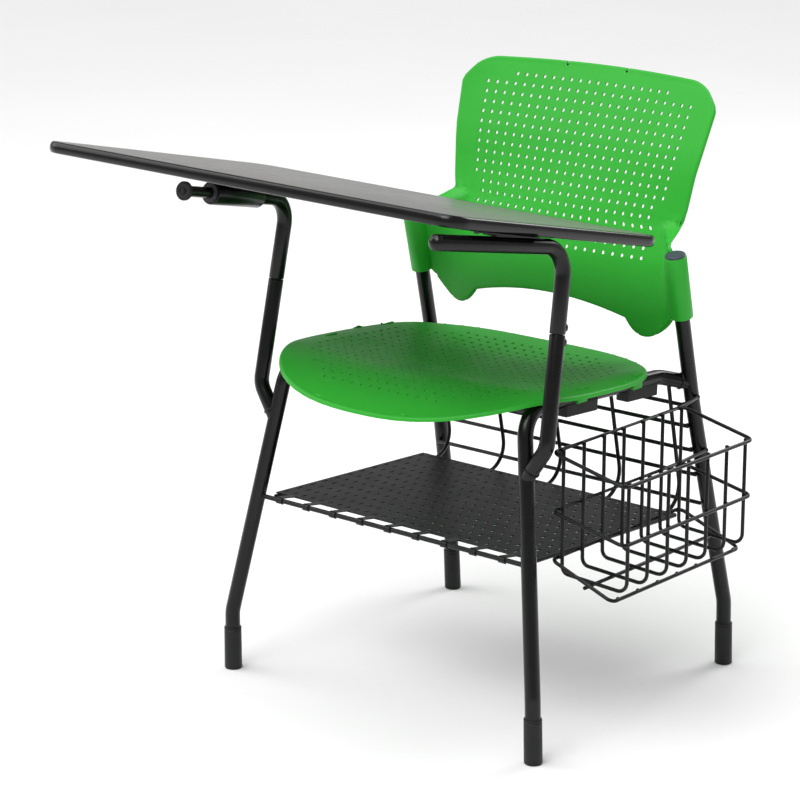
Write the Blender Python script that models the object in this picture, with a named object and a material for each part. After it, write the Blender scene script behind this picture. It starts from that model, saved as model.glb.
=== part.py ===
"""Classroom chair with a full-width flip-up writing board, a book shelf and a side basket.

Units are metres, +Z is up, -Y is the way the sitter faces and +X is the sitter's left.
The floor is z = 0 and the origin lies under the middle of the whole chair.
All lengths in the tables below are millimetres measured from the middle of the four feet;
make() adds DATUM and turns them into metres, once.
"""
import bpy
import bmesh
import math
from mathutils import Vector, Matrix

MM = 0.001
DATUM = Vector((52.81, 63.69, 0.0))      # middle of the feet, seen from under the middle of the chair

# ---- driving dimensions -------------------------------------------------------------
TUBE_R = 10.0            # 20 mm round tube for legs, rails, posts and arms
FIT = 0.3                # clearance left between neighbouring solids
TUBE_SIDES = 14
WIRE_SIDES = 8

FRONT_FOOT = (257.3, -222.5, 0.0)
FRONT_KNEE = (256.0, -223.6, 82.0)
RAIL_CORNER = (196.5, -170.7, 435.0)
RAIL_TURN = (197.0, 112.0, 418.7)
RAIL_END = (219.3, 151.1, 407.0)

REAR_FOOT = (238.4, 223.5, 0.0)
REAR_KNEE = (239.0, 219.0, 91.0)
REAR_SEAT = (220.9, 156.5, 382.0)
REAR_BACK = (219.8, 131.6, 491.0)
REAR_TOP = (220.0, 111.0, 580.0)

POST_ROOT = (210.5, -183.1, 352.0)
POST_TURN = (239.0, -180.0, 394.0)
ARM_CORNER = (228.5, -134.7, 637.2)
SEAM_Z = 532.7
REST_ARM_DIR = (-17.8, -232.0, 41.8)     # sitter's left arm, the tablet only rests on it
PIVOT_ARM_DIR = (17.8, -214.0, 45.3)     # sitter's right arm, carries the pivot pin
REST_ARM_LEN = 228.0
PIVOT_ARM_LEN = 64.0

PIN_R = 7.0
PIN_END = 212.0
SLEEVE_R = 15.0
SLEEVE_SPAN = (66.1, 162.9)
SLEEVE_BORE = 9.0

BOARD_CENTRE = (-112.1, -147.7, 661.7)
BOARD_SIZE = (696.0, 430.0, 15.0)
BOARD_CORNER = 30.0
BOARD_SLOPE = 0.222       # rises toward the front
BOARD_CANT = 0.012       # rises toward the pivot side

SEAT_Y = (-264.0, 136.0)
SEAT_HALF = 231.0
SHELL_T = 4.0

SHELF_Y = (-176.0, 130.0)
SHELF_HALF = 218.0
SHELF_Z = 245.0
SHELF_FALL = 0.0457

GUARD_R = 2.7
GUARD_Z = (377.0, 347.0, 313.0, 278.0)
GUARD_X = (-198.0, -100.0, 0.0, 100.0, 198.0)

BASKET_R = 2.4
BASKET_IN = 243.6
BASKET_OUT = 352.7
BASKET_Y = (-173.0, 102.0)

# ---- small geometry kit -------------------------------------------------------------
for old in list(bpy.data.objects):
    bpy.data.objects.remove(old, do_unlink=True)

MATS = {}


def material(name, rgb, rough, metal=0.0, coat=0.0):
    if name not in MATS:
        mat = bpy.data.materials.new(name)
        mat.use_nodes = True
        bsdf = mat.node_tree.nodes["Principled BSDF"]
        bsdf.inputs["Base Color"].default_value = (*rgb, 1.0)
        bsdf.inputs["Roughness"].default_value = rough
        bsdf.inputs["Metallic"].default_value = metal
        bsdf.inputs["Coat Weight"].default_value = coat
        MATS[name] = mat
    return MATS[name]


def powder_coat():
    return material("powder_coat_black", (0.012, 0.012, 0.013), 0.28, 0.0, 0.5)


def wire_black():
    return material("wire_black", (0.014, 0.014, 0.015), 0.35, 0.0, 0.3)


def shelf_black():
    return material("shelf_charcoal", (0.03, 0.031, 0.034), 0.45, 0.0, 0.2)


def plastic_green():
    return material("plastic_green", (0.03, 0.42, 0.035), 0.42)


def plastic_black():
    return material("plastic_black", (0.02, 0.02, 0.021), 0.5)


def cap_grey():
    return material("plastic_cap_grey", (0.035, 0.042, 0.06), 0.4)


def rubber():
    return material("rubber_black", (0.015, 0.015, 0.016), 0.8)


def laminate():
    return material("laminate_grey", (0.14, 0.135, 0.13), 0.4)


def edge_band():
    return material("edge_band_black", (0.01, 0.01, 0.011), 0.2, 0.0, 0.4)


def zinc():
    return material("screw_black_zinc", (0.06, 0.06, 0.065), 0.35, 0.9)


def nylon():
    return material("nylon_bush", (0.05, 0.05, 0.055), 0.5)


def side(p, s):
    return Vector((p[0] * s, p[1], p[2]))


def place(p):
    """A point of the tables, in metres from the chair's origin."""
    return (Vector(p) + DATUM) * MM


def make(name, verts, faces, mat, smooth=None):
    """One object whose own origin is the middle of its shape."""
    pts = [place(v) for v in verts]
    low, high = (Vector([f(p[i] for p in pts) for i in range(3)]) for f in (min, max))
    middle = (low + high) / 2
    mesh = bpy.data.meshes.new(name)
    mesh.from_pydata([tuple(p - middle) for p in pts], [], faces)
    bm = bmesh.new()
    bm.from_mesh(mesh)
    bmesh.ops.recalc_face_normals(bm, faces=bm.faces)
    bm.to_mesh(mesh)
    bm.free()
    for i, poly in enumerate(mesh.polygons):
        poly.use_smooth = bool(smooth and smooth(i))
    mesh.materials.append(mat)
    obj = bpy.data.objects.new(name, mesh)
    obj.location = middle
    bpy.context.scene.collection.objects.link(obj)
    return obj


def hang(child, parent, where):
    """Parent the child without moving it; where is the parent's own placement."""
    child.parent = parent
    child.matrix_parent_inverse = where.inverted()
    return child


def boolean(obj, other, operation):
    """Cut or fuse with a helper that travels with the object and is never shown."""
    mod = obj.modifiers.new(operation.lower(), "BOOLEAN")
    mod.operation = operation
    mod.solver = "EXACT"
    mod.object = hang(other, obj, Matrix.Translation(obj.location))
    other.hide_render = True
    other.display_type = "WIRE"
    return obj


def cut(obj, *cutters):
    for c in cutters:
        boolean(obj, c, "DIFFERENCE")
    return obj


def fuse(obj, *others):
    for o in others:
        boolean(obj, o, "UNION")
    return obj


def fillet(points, radii, steps):
    """Round the inner corners of a polyline with true arcs."""
    pts = [Vector(p) for p in points]
    out = [pts[0]]
    for i in range(1, len(pts) - 1):
        a, b, c = pts[i - 1], pts[i], pts[i + 1]
        u, w = (a - b).normalized(), (c - b).normalized()
        ang = u.angle(w)
        if math.pi - ang < 1e-4:
            continue
        tan = radii[i - 1] / math.tan(ang / 2)
        mid = b + (u + w).normalized() * radii[i - 1] / math.sin(ang / 2)
        p0, p1 = b + u * tan - mid, b + w * tan - mid
        sweep = p0.angle(p1)
        axis = p0.cross(p1).normalized()
        n = steps[i - 1]
        for k in range(n + 1):
            out.append(mid + Matrix.Rotation(sweep * k / n, 3, axis) @ p0)
    out.append(pts[-1])
    return out


def sweep(name, path, radius, mat, sides=TUBE_SIDES, closed=False):
    """A round bar along a path; every ring is perpendicular to the path."""
    n = len(path)
    tans = []
    for i in range(n):
        a = path[i - 1] if (i > 0 or closed) else path[0]
        b = path[(i + 1) % n] if (i < n - 1 or closed) else path[-1]
        t = (path[i] - a).normalized() + (b - path[i]).normalized()
        tans.append(t.normalized())
    ref = Vector((0, 0, 1)) if abs(tans[0].z) < 0.8 else Vector((1, 0, 0))
    normal = (ref - tans[0] * ref.dot(tans[0])).normalized()
    verts = []
    for i in range(n):
        if i:
            normal = tans[i - 1].rotation_difference(tans[i]) @ normal
        normal = (normal - tans[i] * normal.dot(tans[i])).normalized()
        bi = tans[i].cross(normal)
        for k in range(sides):
            a = 2 * math.pi * k / sides
            verts.append(path[i] + (normal * math.cos(a) + bi * math.sin(a)) * radius)
    faces = []
    rings = n if closed else n - 1
    shift = 0
    if closed:
        first, last = verts[0] - path[0], tans[-1].rotation_difference(tans[0]) @ normal
        angs = [(verts[k] - path[0]).angle(last) for k in range(sides)]
        shift = angs.index(min(angs))
    for i in range(rings):
        j = (i + 1) % n
        off = shift if (closed and j == 0) else 0
        for k in range(sides):
            k1 = (k + 1) % sides
            faces.append((i * sides + k, i * sides + k1,
                          j * sides + (k1 + off) % sides, j * sides + (k + off) % sides))
    if not closed:
        faces.append(tuple(range(sides))[::-1])
        faces.append(tuple((n - 1) * sides + k for k in range(sides)))
    flat = rings * sides
    return make(name, verts, faces, mat, lambda i: i < flat)


def bar(name, a, b, radius, mat, sides=TUBE_SIDES):
    return sweep(name, [Vector(a), Vector(b)], radius, mat, sides)


def lathe(name, origin, axis, profile, mat, sides=20):
    """Turn (along, radius) pairs round an axis; radius 0 closes on the axis."""
    o, ax = Vector(origin), Vector(axis).normalized()
    ref = Vector((0, 0, 1)) if abs(ax.z) < 0.8 else Vector((1, 0, 0))
    u = (ref - ax * ref.dot(ax)).normalized()
    w = ax.cross(u)
    verts, rows = [], []
    for t, r in profile:
        if r <= 0:
            rows.append([len(verts)])
            verts.append(o + ax * t)
        else:
            rows.append(list(range(len(verts), len(verts) + sides)))
            for k in range(sides):
                a = 2 * math.pi * k / sides
                verts.append(o + ax * t + (u * math.cos(a) + w * math.sin(a)) * r)
    faces = []
    loop = list(zip(rows, rows[1:]))
    if len(rows[0]) > 1 and len(rows[-1]) > 1:
        loop.append((rows[-1], rows[0]))
    for a, b in loop:
        for k in range(sides):
            k1 = (k + 1) % sides
            if len(a) == 1 and len(b) == 1:
                continue
            if len(a) == 1:
                faces.append((a[0], b[k1], b[k]))
            elif len(b) == 1:
                faces.append((a[k], a[k1], b[0]))
            else:
                faces.append((a[k], a[k1], b[k1], b[k]))
    return make(name, verts, faces, mat, lambda i: True)


def slab(name, centre, ex, ey, ez, size, mat):
    """A box with its own axes; size is the full length along each axis."""
    c = Vector(centre)
    verts = []
    for sz in (-0.5, 0.5):
        for sx, sy in ((-0.5, -0.5), (0.5, -0.5), (0.5, 0.5), (-0.5, 0.5)):
            verts.append(c + ex * size[0] * sx + ey * size[1] * sy + ez * size[2] * sz)
    faces = [(3, 2, 1, 0), (4, 5, 6, 7), (0, 1, 5, 4), (1, 2, 6, 5), (2, 3, 7, 6), (3, 0, 4, 7)]
    return make(name, verts, faces, mat)


X, Y, Z = Vector((1, 0, 0)), Vector((0, 1, 0)), Vector((0, 0, 1))


def along(p, q, z):
    """Point of the line p-q at height z."""
    p, q = Vector(p), Vector(q)
    return p + (q - p) * ((z - p.z) / (q.z - p.z))


def lr(s):
    return "l" if s > 0 else "r"


# ---- bent tube frame ----------------------------------------------------------------
def front_leg_line(s, grow=0.0):
    start = along(FRONT_FOOT, FRONT_KNEE, 6.3)
    return fillet([side(start, s), side(FRONT_KNEE, s), side(RAIL_CORNER, s),
                   side(RAIL_TURN, s), side(RAIL_END, s)], [60, 42, 34], [4, 8, 4])


def rear_leg_line(s):
    start = along(REAR_FOOT, REAR_KNEE, 6.3)
    return fillet([side(start, s), side(REAR_KNEE, s), side(REAR_SEAT, s),
                   side(REAR_BACK, s), side(REAR_TOP, s)], [60, 600, 600], [4, 2, 2])


def leg_cutter(name, p, q, s, extra=0.0):
    a, b = side(p, s), side(q, s)
    d = (b - a).normalized()
    return bar(name, a - d * extra, b + d * extra, TUBE_R + FIT, powder_coat(), 24)


def frame_side(s):
    obj = sweep("frame_side_" + lr(s), front_leg_line(s), TUBE_R, powder_coat())
    return cut(obj, leg_cutter("cut_rail_end_" + lr(s), REAR_SEAT, REAR_BACK, s, 40.0))


def rear_leg(s):
    return sweep("rear_leg_" + lr(s), rear_leg_line(s), TUBE_R, powder_coat())


def cross_tube(name, y, z):
    reach = RAIL_TURN[0] - TUBE_R - FIT
    return bar(name, (-reach, y, z), (reach, y, z), TUBE_R - 1.0, powder_coat())


def foot(name, p, q, s):
    """Push-on foot: horizontal rings that follow the leg, flat underneath."""
    prof = [(0, 10.6), (1.4, 11.8), (57.5, 11.6), (60, 10.9), (60, TUBE_R + 0.4),
            (5.4, TUBE_R + 0.4)]
    sides, verts, rows = 20, [], []
    for z, r in prof:
        c = side(along(p, q, z), s)
        rows.append(list(range(len(verts), len(verts) + sides)))
        for k in range(sides):
            a = 2 * math.pi * k / sides
            verts.append(c + Vector((math.cos(a) * r, math.sin(a) * r, 0)))
    faces = []
    for a, b in zip(rows, rows[1:]):
        for k in range(sides):
            faces.append((a[k], a[(k + 1) % sides], b[(k + 1) % sides], b[k]))
    round_faces = len(faces)
    faces.append(tuple(rows[0])[::-1])
    faces.append(tuple(rows[-1]))
    return make(name, verts, faces, plastic_black(), lambda i: i < round_faces)


# ---- arm posts, splices and arms ----------------------------------------------------
def seam_point(s, dz=0.0):
    return side(along(POST_TURN, ARM_CORNER, SEAM_Z + dz), s)


def post_dir(s):
    return (side(ARM_CORNER, s) - side(POST_TURN, s)).normalized()


def splice_cutters(s, tag):
    d = post_dir(s)
    spigot = bar("cut_spigot_%s_%s" % (tag, lr(s)), seam_point(s) - d * 27, seam_point(s) + d * 27,
                 7.6, powder_coat(), 16)
    return spigot


def screw_axis(s):
    """The splice screws face outward and to the rear."""
    out = Vector((0.55 * s, 0.83, 0))
    d = post_dir(s)
    return (out - d * out.dot(d)).normalized()


def screw_base(s, up):
    return seam_point(s) + post_dir(s) * (9.0 if up else -9.0)


def screw_hole(s, up, tag):
    a = screw_axis(s)
    b = screw_base(s, up)
    return bar("cut_screw_%s_%s_%s" % (tag, lr(s), "u" if up else "d"), b + a * 3.2, b + a * 14, 2.4,
               powder_coat(), 12)


def arm_post(s):
    path = fillet([side(POST_ROOT, s), side(POST_TURN, s), seam_point(s, -0.15)], [32], [7])
    obj = sweep("arm_post_" + lr(s), path, TUBE_R, powder_coat())
    return cut(obj, leg_cutter("cut_post_root_" + lr(s), FRONT_KNEE, RAIL_CORNER, s),
               splice_cutters(s, "post"), screw_hole(s, False, "post"))


def arm_dir(s):
    return Vector(REST_ARM_DIR if s > 0 else PIVOT_ARM_DIR).normalized()


def arm_point(s, t, lift=0.0, across=0.0):
    d = arm_dir(s)
    flat = Vector((1, 0, 0)) - d * d.x
    up = d.cross(Vector((1, 0, 0))).normalized()
    if up.z < 0:
        up = -up
    return side(ARM_CORNER, s) + d * t + up * lift + flat.normalized() * across


def arm_tube(s):
    length = REST_ARM_LEN if s > 0 else PIVOT_ARM_LEN
    path = fillet([seam_point(s, 0.15), side(ARM_CORNER, s), arm_point(s, length)], [36], [9])
    obj = sweep("arm_" + lr(s), path, TUBE_R, powder_coat())
    depth = 15.0 if s > 0 else 26.0
    bore = 8.0 if s > 0 else PIN_R + FIT
    end = bar("cut_arm_end_" + lr(s), arm_point(s, length - depth), arm_point(s, length + 5),
              bore, powder_coat(), 20)
    return cut(obj, splice_cutters(s, "arm"), screw_hole(s, True, "arm"), end)


def splice_spigot(s):
    d = post_dir(s)
    obj = bar("splice_spigot_" + lr(s), seam_point(s) - d * 26.6, seam_point(s) + d * 26.6, 7.2,
              plastic_black(), 16)
    return cut(obj, screw_hole(s, True, "spigot"), screw_hole(s, False, "spigot"))


def splice_screw(s, up):
    a = screw_axis(s)
    prof = [(3.6, 0), (3.6, 2.0), (10.2, 2.0), (10.2, 3.9), (11.4, 3.7), (12.2, 2.6), (12.5, 0)]
    return lathe("splice_screw_%s_%s" % (lr(s), "top" if up else "low"), screw_base(s, up), a, prof,
                 zinc(), 12)


def arm_cap():
    o = arm_point(1, REST_ARM_LEN)
    prof = [(-13.5, 0), (-13.5, 7.6), (0.3, 7.6), (0.3, 10.2), (3.2, 9.6), (6.0, 7.4), (7.8, 4.2),
            (8.4, 0)]
    return lathe("arm_cap_l", o, arm_dir(1), prof, plastic_black(), 20)


# ---- pivot pin, sliding bushes and tablet bracket -----------------------------------
def pivot_pin():
    o = arm_point(-1, 0)
    t0 = PIVOT_ARM_LEN - 25.5
    prof = [(t0, 0), (t0, PIN_R), (PIN_END - 1.0, PIN_R), (PIN_END, PIN_R - 1.0), (PIN_END, 0)]
    return lathe("pivot_pin", o, arm_dir(-1), prof, powder_coat(), 20)


def pin_disc():
    o = arm_point(-1, 0)
    t = PIN_END + FIT
    prof = [(t, 0), (t, 11.4), (t + 0.8, 12.2), (t + 4.2, 12.2), (t + 5.2, 11.2), (t + 5.2, 6.4),
            (t + 3.8, 5.4), (t + 3.8, 3.2), (t + 5.6, 2.4), (t + 5.8, 0)]
    return lathe("pin_disc", o, arm_dir(-1), prof, plastic_black(), 20)


def slide_bush(front):
    """Flanged nylon bush: slides on the pin, and the bracket sleeve turns on it."""
    t0, t1 = SLEEVE_SPAN
    inner, barrel, flange = PIN_R + FIT, SLEEVE_BORE - FIT, 12.0
    if front:
        a, b, c = t1 - 28.0, t1 + FIT, t1 + FIT + 1.6
        prof = [(a, inner), (a, barrel), (b, barrel), (b, flange), (c, flange), (c, inner)]
    else:
        a, b, c = t0 + 28.0, t0 - FIT, t0 - FIT - 1.5
        prof = [(c, inner), (c, flange), (b, flange), (b, barrel), (a, barrel), (a, inner)]
    return lathe("slide_bush_" + ("front" if front else "rear"), arm_point(-1, 0), arm_dir(-1),
                 prof, nylon(), 20)


def board_axes():
    ex = Vector((1, 0, -BOARD_CANT)).normalized()
    n = Vector((BOARD_CANT, BOARD_SLOPE, 1)).normalized()
    ey = n.cross(ex).normalized()
    return ex, ey, n


def under_board(p, drop):
    """Foot of p on the plane that lies `drop` below the board's underside."""
    n = board_axes()[2]
    c = Vector(BOARD_CENTRE) - n * (BOARD_SIZE[2] / 2 + drop)
    p = Vector(p)
    return p - n * (p - c).dot(n)


def pivot_frame():
    ex, ey, n = board_axes()
    d = arm_dir(-1)
    d = (d - n * d.dot(n)).normalized()
    return d, n.cross(d).normalized(), n


HINGE_SCREWS = ((40.0, -19.0), (40.0, 19.0), (142.0, -19.0), (142.0, 19.0))
REST_SCREWS = (148.0, 163.0)


def bracket_point(t, across, drop):
    d, w, n = pivot_frame()
    return under_board(arm_point(-1, t), drop) + w * across


def hinge_bracket():
    """Flat plate and round sleeve welded into one tablet bracket."""
    d, w, n = pivot_frame()
    obj = slab("hinge_bracket", bracket_point(91.0, 0, 0.3 + 1.5), d, w, n, (146.0, 54.0, 3.0),
               powder_coat())
    t0, t1 = SLEEVE_SPAN
    o = arm_point(-1, 0)
    sleeve = lathe("fuse_sleeve", o, arm_dir(-1),
                   [(t0, 0), (t0, SLEEVE_R - 1.0), (t0 + 1, SLEEVE_R), (t1 - 1, SLEEVE_R),
                    (t1, SLEEVE_R - 1.0), (t1, 0)], powder_coat(), 28)
    fuse(obj, sleeve)
    bore = bar("cut_sleeve_bore", o + arm_dir(-1) * (t0 - 5), o + arm_dir(-1) * (t1 + 5),
               SLEEVE_BORE, powder_coat(), 20)
    cut(obj, bore)
    for i, (t, a) in enumerate(HINGE_SCREWS):
        p = bracket_point(t, a, 0)
        cut(obj, bar("cut_bracket_%d" % i, p + n * 2, p - n * 8, 2.4, powder_coat(), 12))
    return obj


def board_screw(name, p, plate, radius=2.0):
    """Pan-head screw up into the board through a plate of the given depth."""
    n = board_axes()[2]
    prof = [(-(plate + 2.6), 0), (-(plate + 2.3), 2.4), (-(plate + 1.4), 3.7), (-(plate + 0.3), 3.9),
            (-(plate + 0.3), radius), (8.0, radius), (9.0, 0)]
    return lathe(name, p, n, prof, zinc(), 12)


def rest_frame():
    ex, ey, n = board_axes()
    d = arm_dir(1)
    d = (d - n * d.dot(n)).normalized()
    return d, n.cross(d).normalized(), n


def rest_point(t, drop):
    return under_board(arm_point(1, t), drop)


def rest_plate():
    d, w, n = rest_frame()
    obj = slab("rest_plate", rest_point(117.0, 0.3 + 0.7), d, w, n, (110.0, 34.0, 1.4), powder_coat())
    for i, t in enumerate(REST_SCREWS):
        p = rest_point(t, 0)
        cut(obj, bar("cut_rest_%d" % i, p + n * 2, p - n * 6, 2.4, powder_coat(), 12))
    return obj


def rest_pad():
    """Thin wedge of rubber that fills the gap between the rest plate and the arm."""
    d, w, n = rest_frame()
    verts = []
    for lift in (0, 1):
        for t, a in ((66, -8.5), (66, 8.5), (136, 8.5), (136, -8.5)):
            low = arm_point(1, t, TUBE_R + FIT) + w * a
            verts.append(under_board(low, 0.3 + 1.4 + 0.2) if lift else low)
    faces = [(3, 2, 1, 0), (4, 5, 6, 7), (0, 1, 5, 4), (1, 2, 6, 5), (2, 3, 7, 6), (3, 0, 4, 7)]
    return make("rest_pad", verts, faces, rubber())


def rounded_loop(hx, hy, r, steps=5):
    out = []
    for cx, cy, a0 in ((1, 1, 0), (-1, 1, 90), (-1, -1, 180), (1, -1, 270)):
        for k in range(steps + 1):
            a = math.radians(a0 + 90.0 * k / steps)
            out.append((cx * (hx - r) + r * math.cos(a), cy * (hy - r) + r * math.sin(a)))
    return out


BAND = 8.0


def tablet_board():
    ex, ey, n = board_axes()
    c = Vector(BOARD_CENTRE)
    w, d, t = BOARD_SIZE
    loop = rounded_loop(w / 2 - BAND - 0.15, d / 2 - BAND - 0.15, BOARD_CORNER - BAND)
    k = len(loop)
    verts = [c + ex * x + ey * y - n * t / 2 for x, y in loop]
    verts += [c + ex * x + ey * y + n * t / 2 for x, y in loop]
    faces = [tuple(range(k))[::-1], tuple(range(k, 2 * k))]
    faces += [(i, (i + 1) % k, k + (i + 1) % k, k + i) for i in range(k)]
    obj = make("tablet_board", verts, faces, laminate())
    holes = [bracket_point(t0, a, 0) for t0, a in HINGE_SCREWS]
    holes += [rest_point(t0, 0) for t0 in REST_SCREWS]
    for i, p in enumerate(holes):
        cut(obj, bar("cut_board_%d" % i, p - n * 2, p + n * 10.5, 2.4, laminate(), 12))
    return obj


def tablet_edge():
    """Bullnose band round the board, one closed ring."""
    ex, ey, n = board_axes()
    c = Vector(BOARD_CENTRE)
    w, d, t = BOARD_SIZE
    prof = [(-BAND + 0.15, t / 2), (-4.0, t / 2)]
    prof += [(-4.0 + 4.0 * math.sin(math.radians(a)), t / 2 * math.cos(math.radians(a)))
             for a in (30, 60, 90, 120, 150)]
    prof += [(-4.0, -t / 2), (-BAND + 0.15, -t / 2)]
    verts, m = [], len(prof)
    outer = rounded_loop(w / 2, d / 2, BOARD_CORNER)
    k = len(outer)
    for off, h in prof:
        for x, y in rounded_loop(w / 2 + off, d / 2 + off, BOARD_CORNER + off):
            verts.append(c + ex * x + ey * y + n * h)
    faces = []
    for j in range(m):
        for i in range(k):
            i1, j1 = (i + 1) % k, (j + 1) % m
            faces.append((j * k + i, j * k + i1, j1 * k + i1, j1 * k + i))
    return make("tablet_edge", verts, faces, edge_band(), lambda i: k <= i < (m - 2) * k)


# ---- moulded seat and back ----------------------------------------------------------
def smooth01(t):
    t = max(0.0, min(1.0, t))
    return t * t * (3 - 2 * t)


def mix(table, z):
    """Piecewise-linear lookup in (key, value) pairs."""
    if z <= table[0][0]:
        return table[0][1]
    for (a, p), (b, q) in zip(table, table[1:]):
        if z <= b:
            return p + (q - p) * (z - a) / (b - a)
    return table[-1][1]


def rail_z(y):
    f = (y - RAIL_CORNER[1]) / (RAIL_TURN[1] - RAIL_CORNER[1])
    return RAIL_CORNER[2] + (RAIL_TURN[2] - RAIL_CORNER[2]) * f


def seat_outline(a):
    """Rounded trapezoid: blunt front, wide middle, narrower curved back."""
    c, s = math.cos(a), math.sin(a)
    p = 2.4 if s < 0 else 3.4
    half = SEAT_HALF * (1.0 - 0.05 * max(0.0, s) ** 2)
    x = half * math.copysign(abs(c) ** (2 / p), c)
    mid = -64.0
    reach = (mid - SEAT_Y[0]) if s < 0 else (SEAT_Y[1] - mid)
    return x, mid + reach * math.copysign(abs(s) ** (2 / p), s)


def seat_top(x, y):
    z = rail_z(y) + TUBE_R + FIT + SHELL_T + 0.7
    if y < -130:
        z -= 38.0 * ((-130 - y) / 134.0) ** 1.8
    side_part = max(0.0, 1 - (x / 190.0) ** 2)
    z -= 11.0 * side_part * smooth01((y + 190) / 120.0) * smooth01((150 - y) / 110.0)
    if abs(x) > 205:
        z -= 0.10 * (abs(x) - 205)
    return z


def seat_shell():
    rings, spokes = (1.0, 0.985, 0.9, 0.75, 0.55, 0.3), 40
    verts, rows = [], []
    for k, sc in enumerate(rings):
        rows.append(list(range(len(verts), len(verts) + spokes)))
        for i in range(spokes):
            x, y = seat_outline(2 * math.pi * i / spokes)
            x, y = x * sc, -64.0 + (y + 64.0) * sc
            verts.append(Vector((x, y, seat_top(x, y) - (1.2 if k == 0 else 0.0))))
    top_c = len(verts)
    verts.append(Vector((0, -64.0, seat_top(0, -64.0))))
    lower = []
    for k, sc in enumerate(rings):
        lower.append(list(range(len(verts), len(verts) + spokes)))
        for i in range(spokes):
            x, y = seat_outline(2 * math.pi * i / spokes)
            x, y = x * sc, -64.0 + (y + 64.0) * sc
            verts.append(Vector((x, y, seat_top(x, y) - SHELL_T + (0.8 if k == 0 else 0.0))))
    low_c = len(verts)
    verts.append(Vector((0, -64.0, seat_top(0, -64.0) - SHELL_T)))
    faces = []
    for block, flip in ((rows, False), (lower, True)):
        for a, b in zip(block, block[1:]):
            for i in range(spokes):
                j = (i + 1) % spokes
                f = (a[i], a[j], b[j], b[i])
                faces.append(f[::-1] if flip else f)
    for i in range(spokes):
        j = (i + 1) % spokes
        faces.append((rows[-1][i], rows[-1][j], top_c))
        faces.append((lower[-1][j], lower[-1][i], low_c))
        faces.append((rows[0][j], rows[0][i], lower[0][i], lower[0][j]))
    obj = make("seat_shell", verts, faces, plastic_green(), lambda i: True)
    for s in (1, -1):
        for i, y in enumerate((-72.0, 46.0)):
            z = rail_z(y)
            lug = slab("fuse_lug_%s_%d" % (lr(s), i), (s * 210.2, y, z + 6.0), X, Y, Z,
                       (5.0, 20.0, 20.0), plastic_green())
            fuse(obj, lug)
    return obj


BACK_HALF = ((455, 206), (490, 213), (585, 214), (612, 191), (631, 195), (671, 200), (702, 205),
             (764, 212), (800, 210))
BACK_MID_Y = ((455, 122), (499, 127), (560, 139), (620, 159), (700, 191), (795, 236))
BACK_BOW = ((455, -20), (520, -15), (609, -10), (677, 5), (777, 17), (795, 18))


def back_low(u):
    x = abs(u) * 212.0
    if x < 128:
        return 499.0 - 17.0 * (x / 128.0) ** 2
    if x < 192:
        t = (x - 160.0) / 32.0
        return 461.0 + 21.0 * t * t
    return 482.0 + 18.0 * smooth01((x - 192.0) / 10.0)


def back_high(u):
    x = abs(u) * 212.0
    if x < 158:
        return 794.0 - 3.0 * (x / 158.0) ** 2
    t = min(1.0, (x - 158.0) / 54.0)
    return 791.0 - 50.0 * (1 - math.sqrt(max(0.0, 1 - t * t)))


def back_point(u, v):
    lo, hi = back_low(u), back_high(u)
    z = lo + (hi - lo) * v
    x = u * mix(BACK_HALF, z)
    y = mix(BACK_MID_Y, z) - mix(BACK_BOW, z) * u * u
    if z < 612:
        wrap = smooth01((abs(u) - 0.80) / 0.20) * smooth01((614 - z) / 26.0)
        post = along(REAR_BACK, REAR_TOP, z).y + 2.0
        y = y + (post - y) * wrap
    return Vector((x, y, z))


def back_shell():
    nu, nv = 26, 13
    us = [math.sin(math.pi / 2 * (2.0 * i / nu - 1)) * 0.35 + (2.0 * i / nu - 1) * 0.65
          for i in range(nu + 1)]
    vs = [j / nv for j in range(nv + 1)]
    verts, front, rear = [], [], []
    for block, off in ((front, 0.0), (rear, SHELL_T)):
        for v in vs:
            block.append(list(range(len(verts), len(verts) + nu + 1)))
            for u in us:
                verts.append(back_point(u, v) + Vector((0, off, 0)))
    faces = []
    for j in range(nv):
        for i in range(nu):
            faces.append((front[j][i], front[j][i + 1], front[j + 1][i + 1], front[j + 1][i]))
            faces.append((rear[j][i], rear[j + 1][i], rear[j + 1][i + 1], rear[j][i + 1]))
    for i in range(nu):
        faces.append((front[0][i], rear[0][i], rear[0][i + 1], front[0][i + 1]))
        faces.append((front[nv][i], front[nv][i + 1], rear[nv][i + 1], rear[nv][i]))
    for j in range(nv):
        faces.append((front[j][0], front[j + 1][0], rear[j + 1][0], rear[j][0]))
        faces.append((front[j][nu], rear[j][nu], rear[j + 1][nu], front[j + 1][nu]))
    obj = make("back_shell", verts, faces, plastic_green(), lambda i: True)
    for s in (1, -1):
        a = side(along(REAR_BACK, REAR_TOP, 499.0), s)
        b = side(along(REAR_BACK, REAR_TOP, 583.0), s)
        d = (b - a).normalized()
        fuse(obj, bar("fuse_back_sleeve_" + lr(s), a, b, 14.8, plastic_green(), 24))
    for s in (1, -1):
        low = bar("cut_back_bore_" + lr(s), side(along(REAR_SEAT, REAR_BACK, 440.0), s),
                  side(REAR_BACK, s), TUBE_R + FIT, plastic_green(), 24)
        a = side(along(REAR_BACK, REAR_TOP, 488.0), s)
        b = side(along(REAR_BACK, REAR_TOP, 620.0), s)
        cut(obj, bar("cut_back_bore_up_" + lr(s), a, b, TUBE_R + FIT, plastic_green(), 24), low)
        a = side(along(REAR_BACK, REAR_TOP, 583.0), s)
        b = side(along(REAR_BACK, REAR_TOP, 620.0), s)
        cut(obj, bar("cut_cap_seat_" + lr(s), a, b, 15.2, plastic_green(), 24))
    return obj


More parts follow.
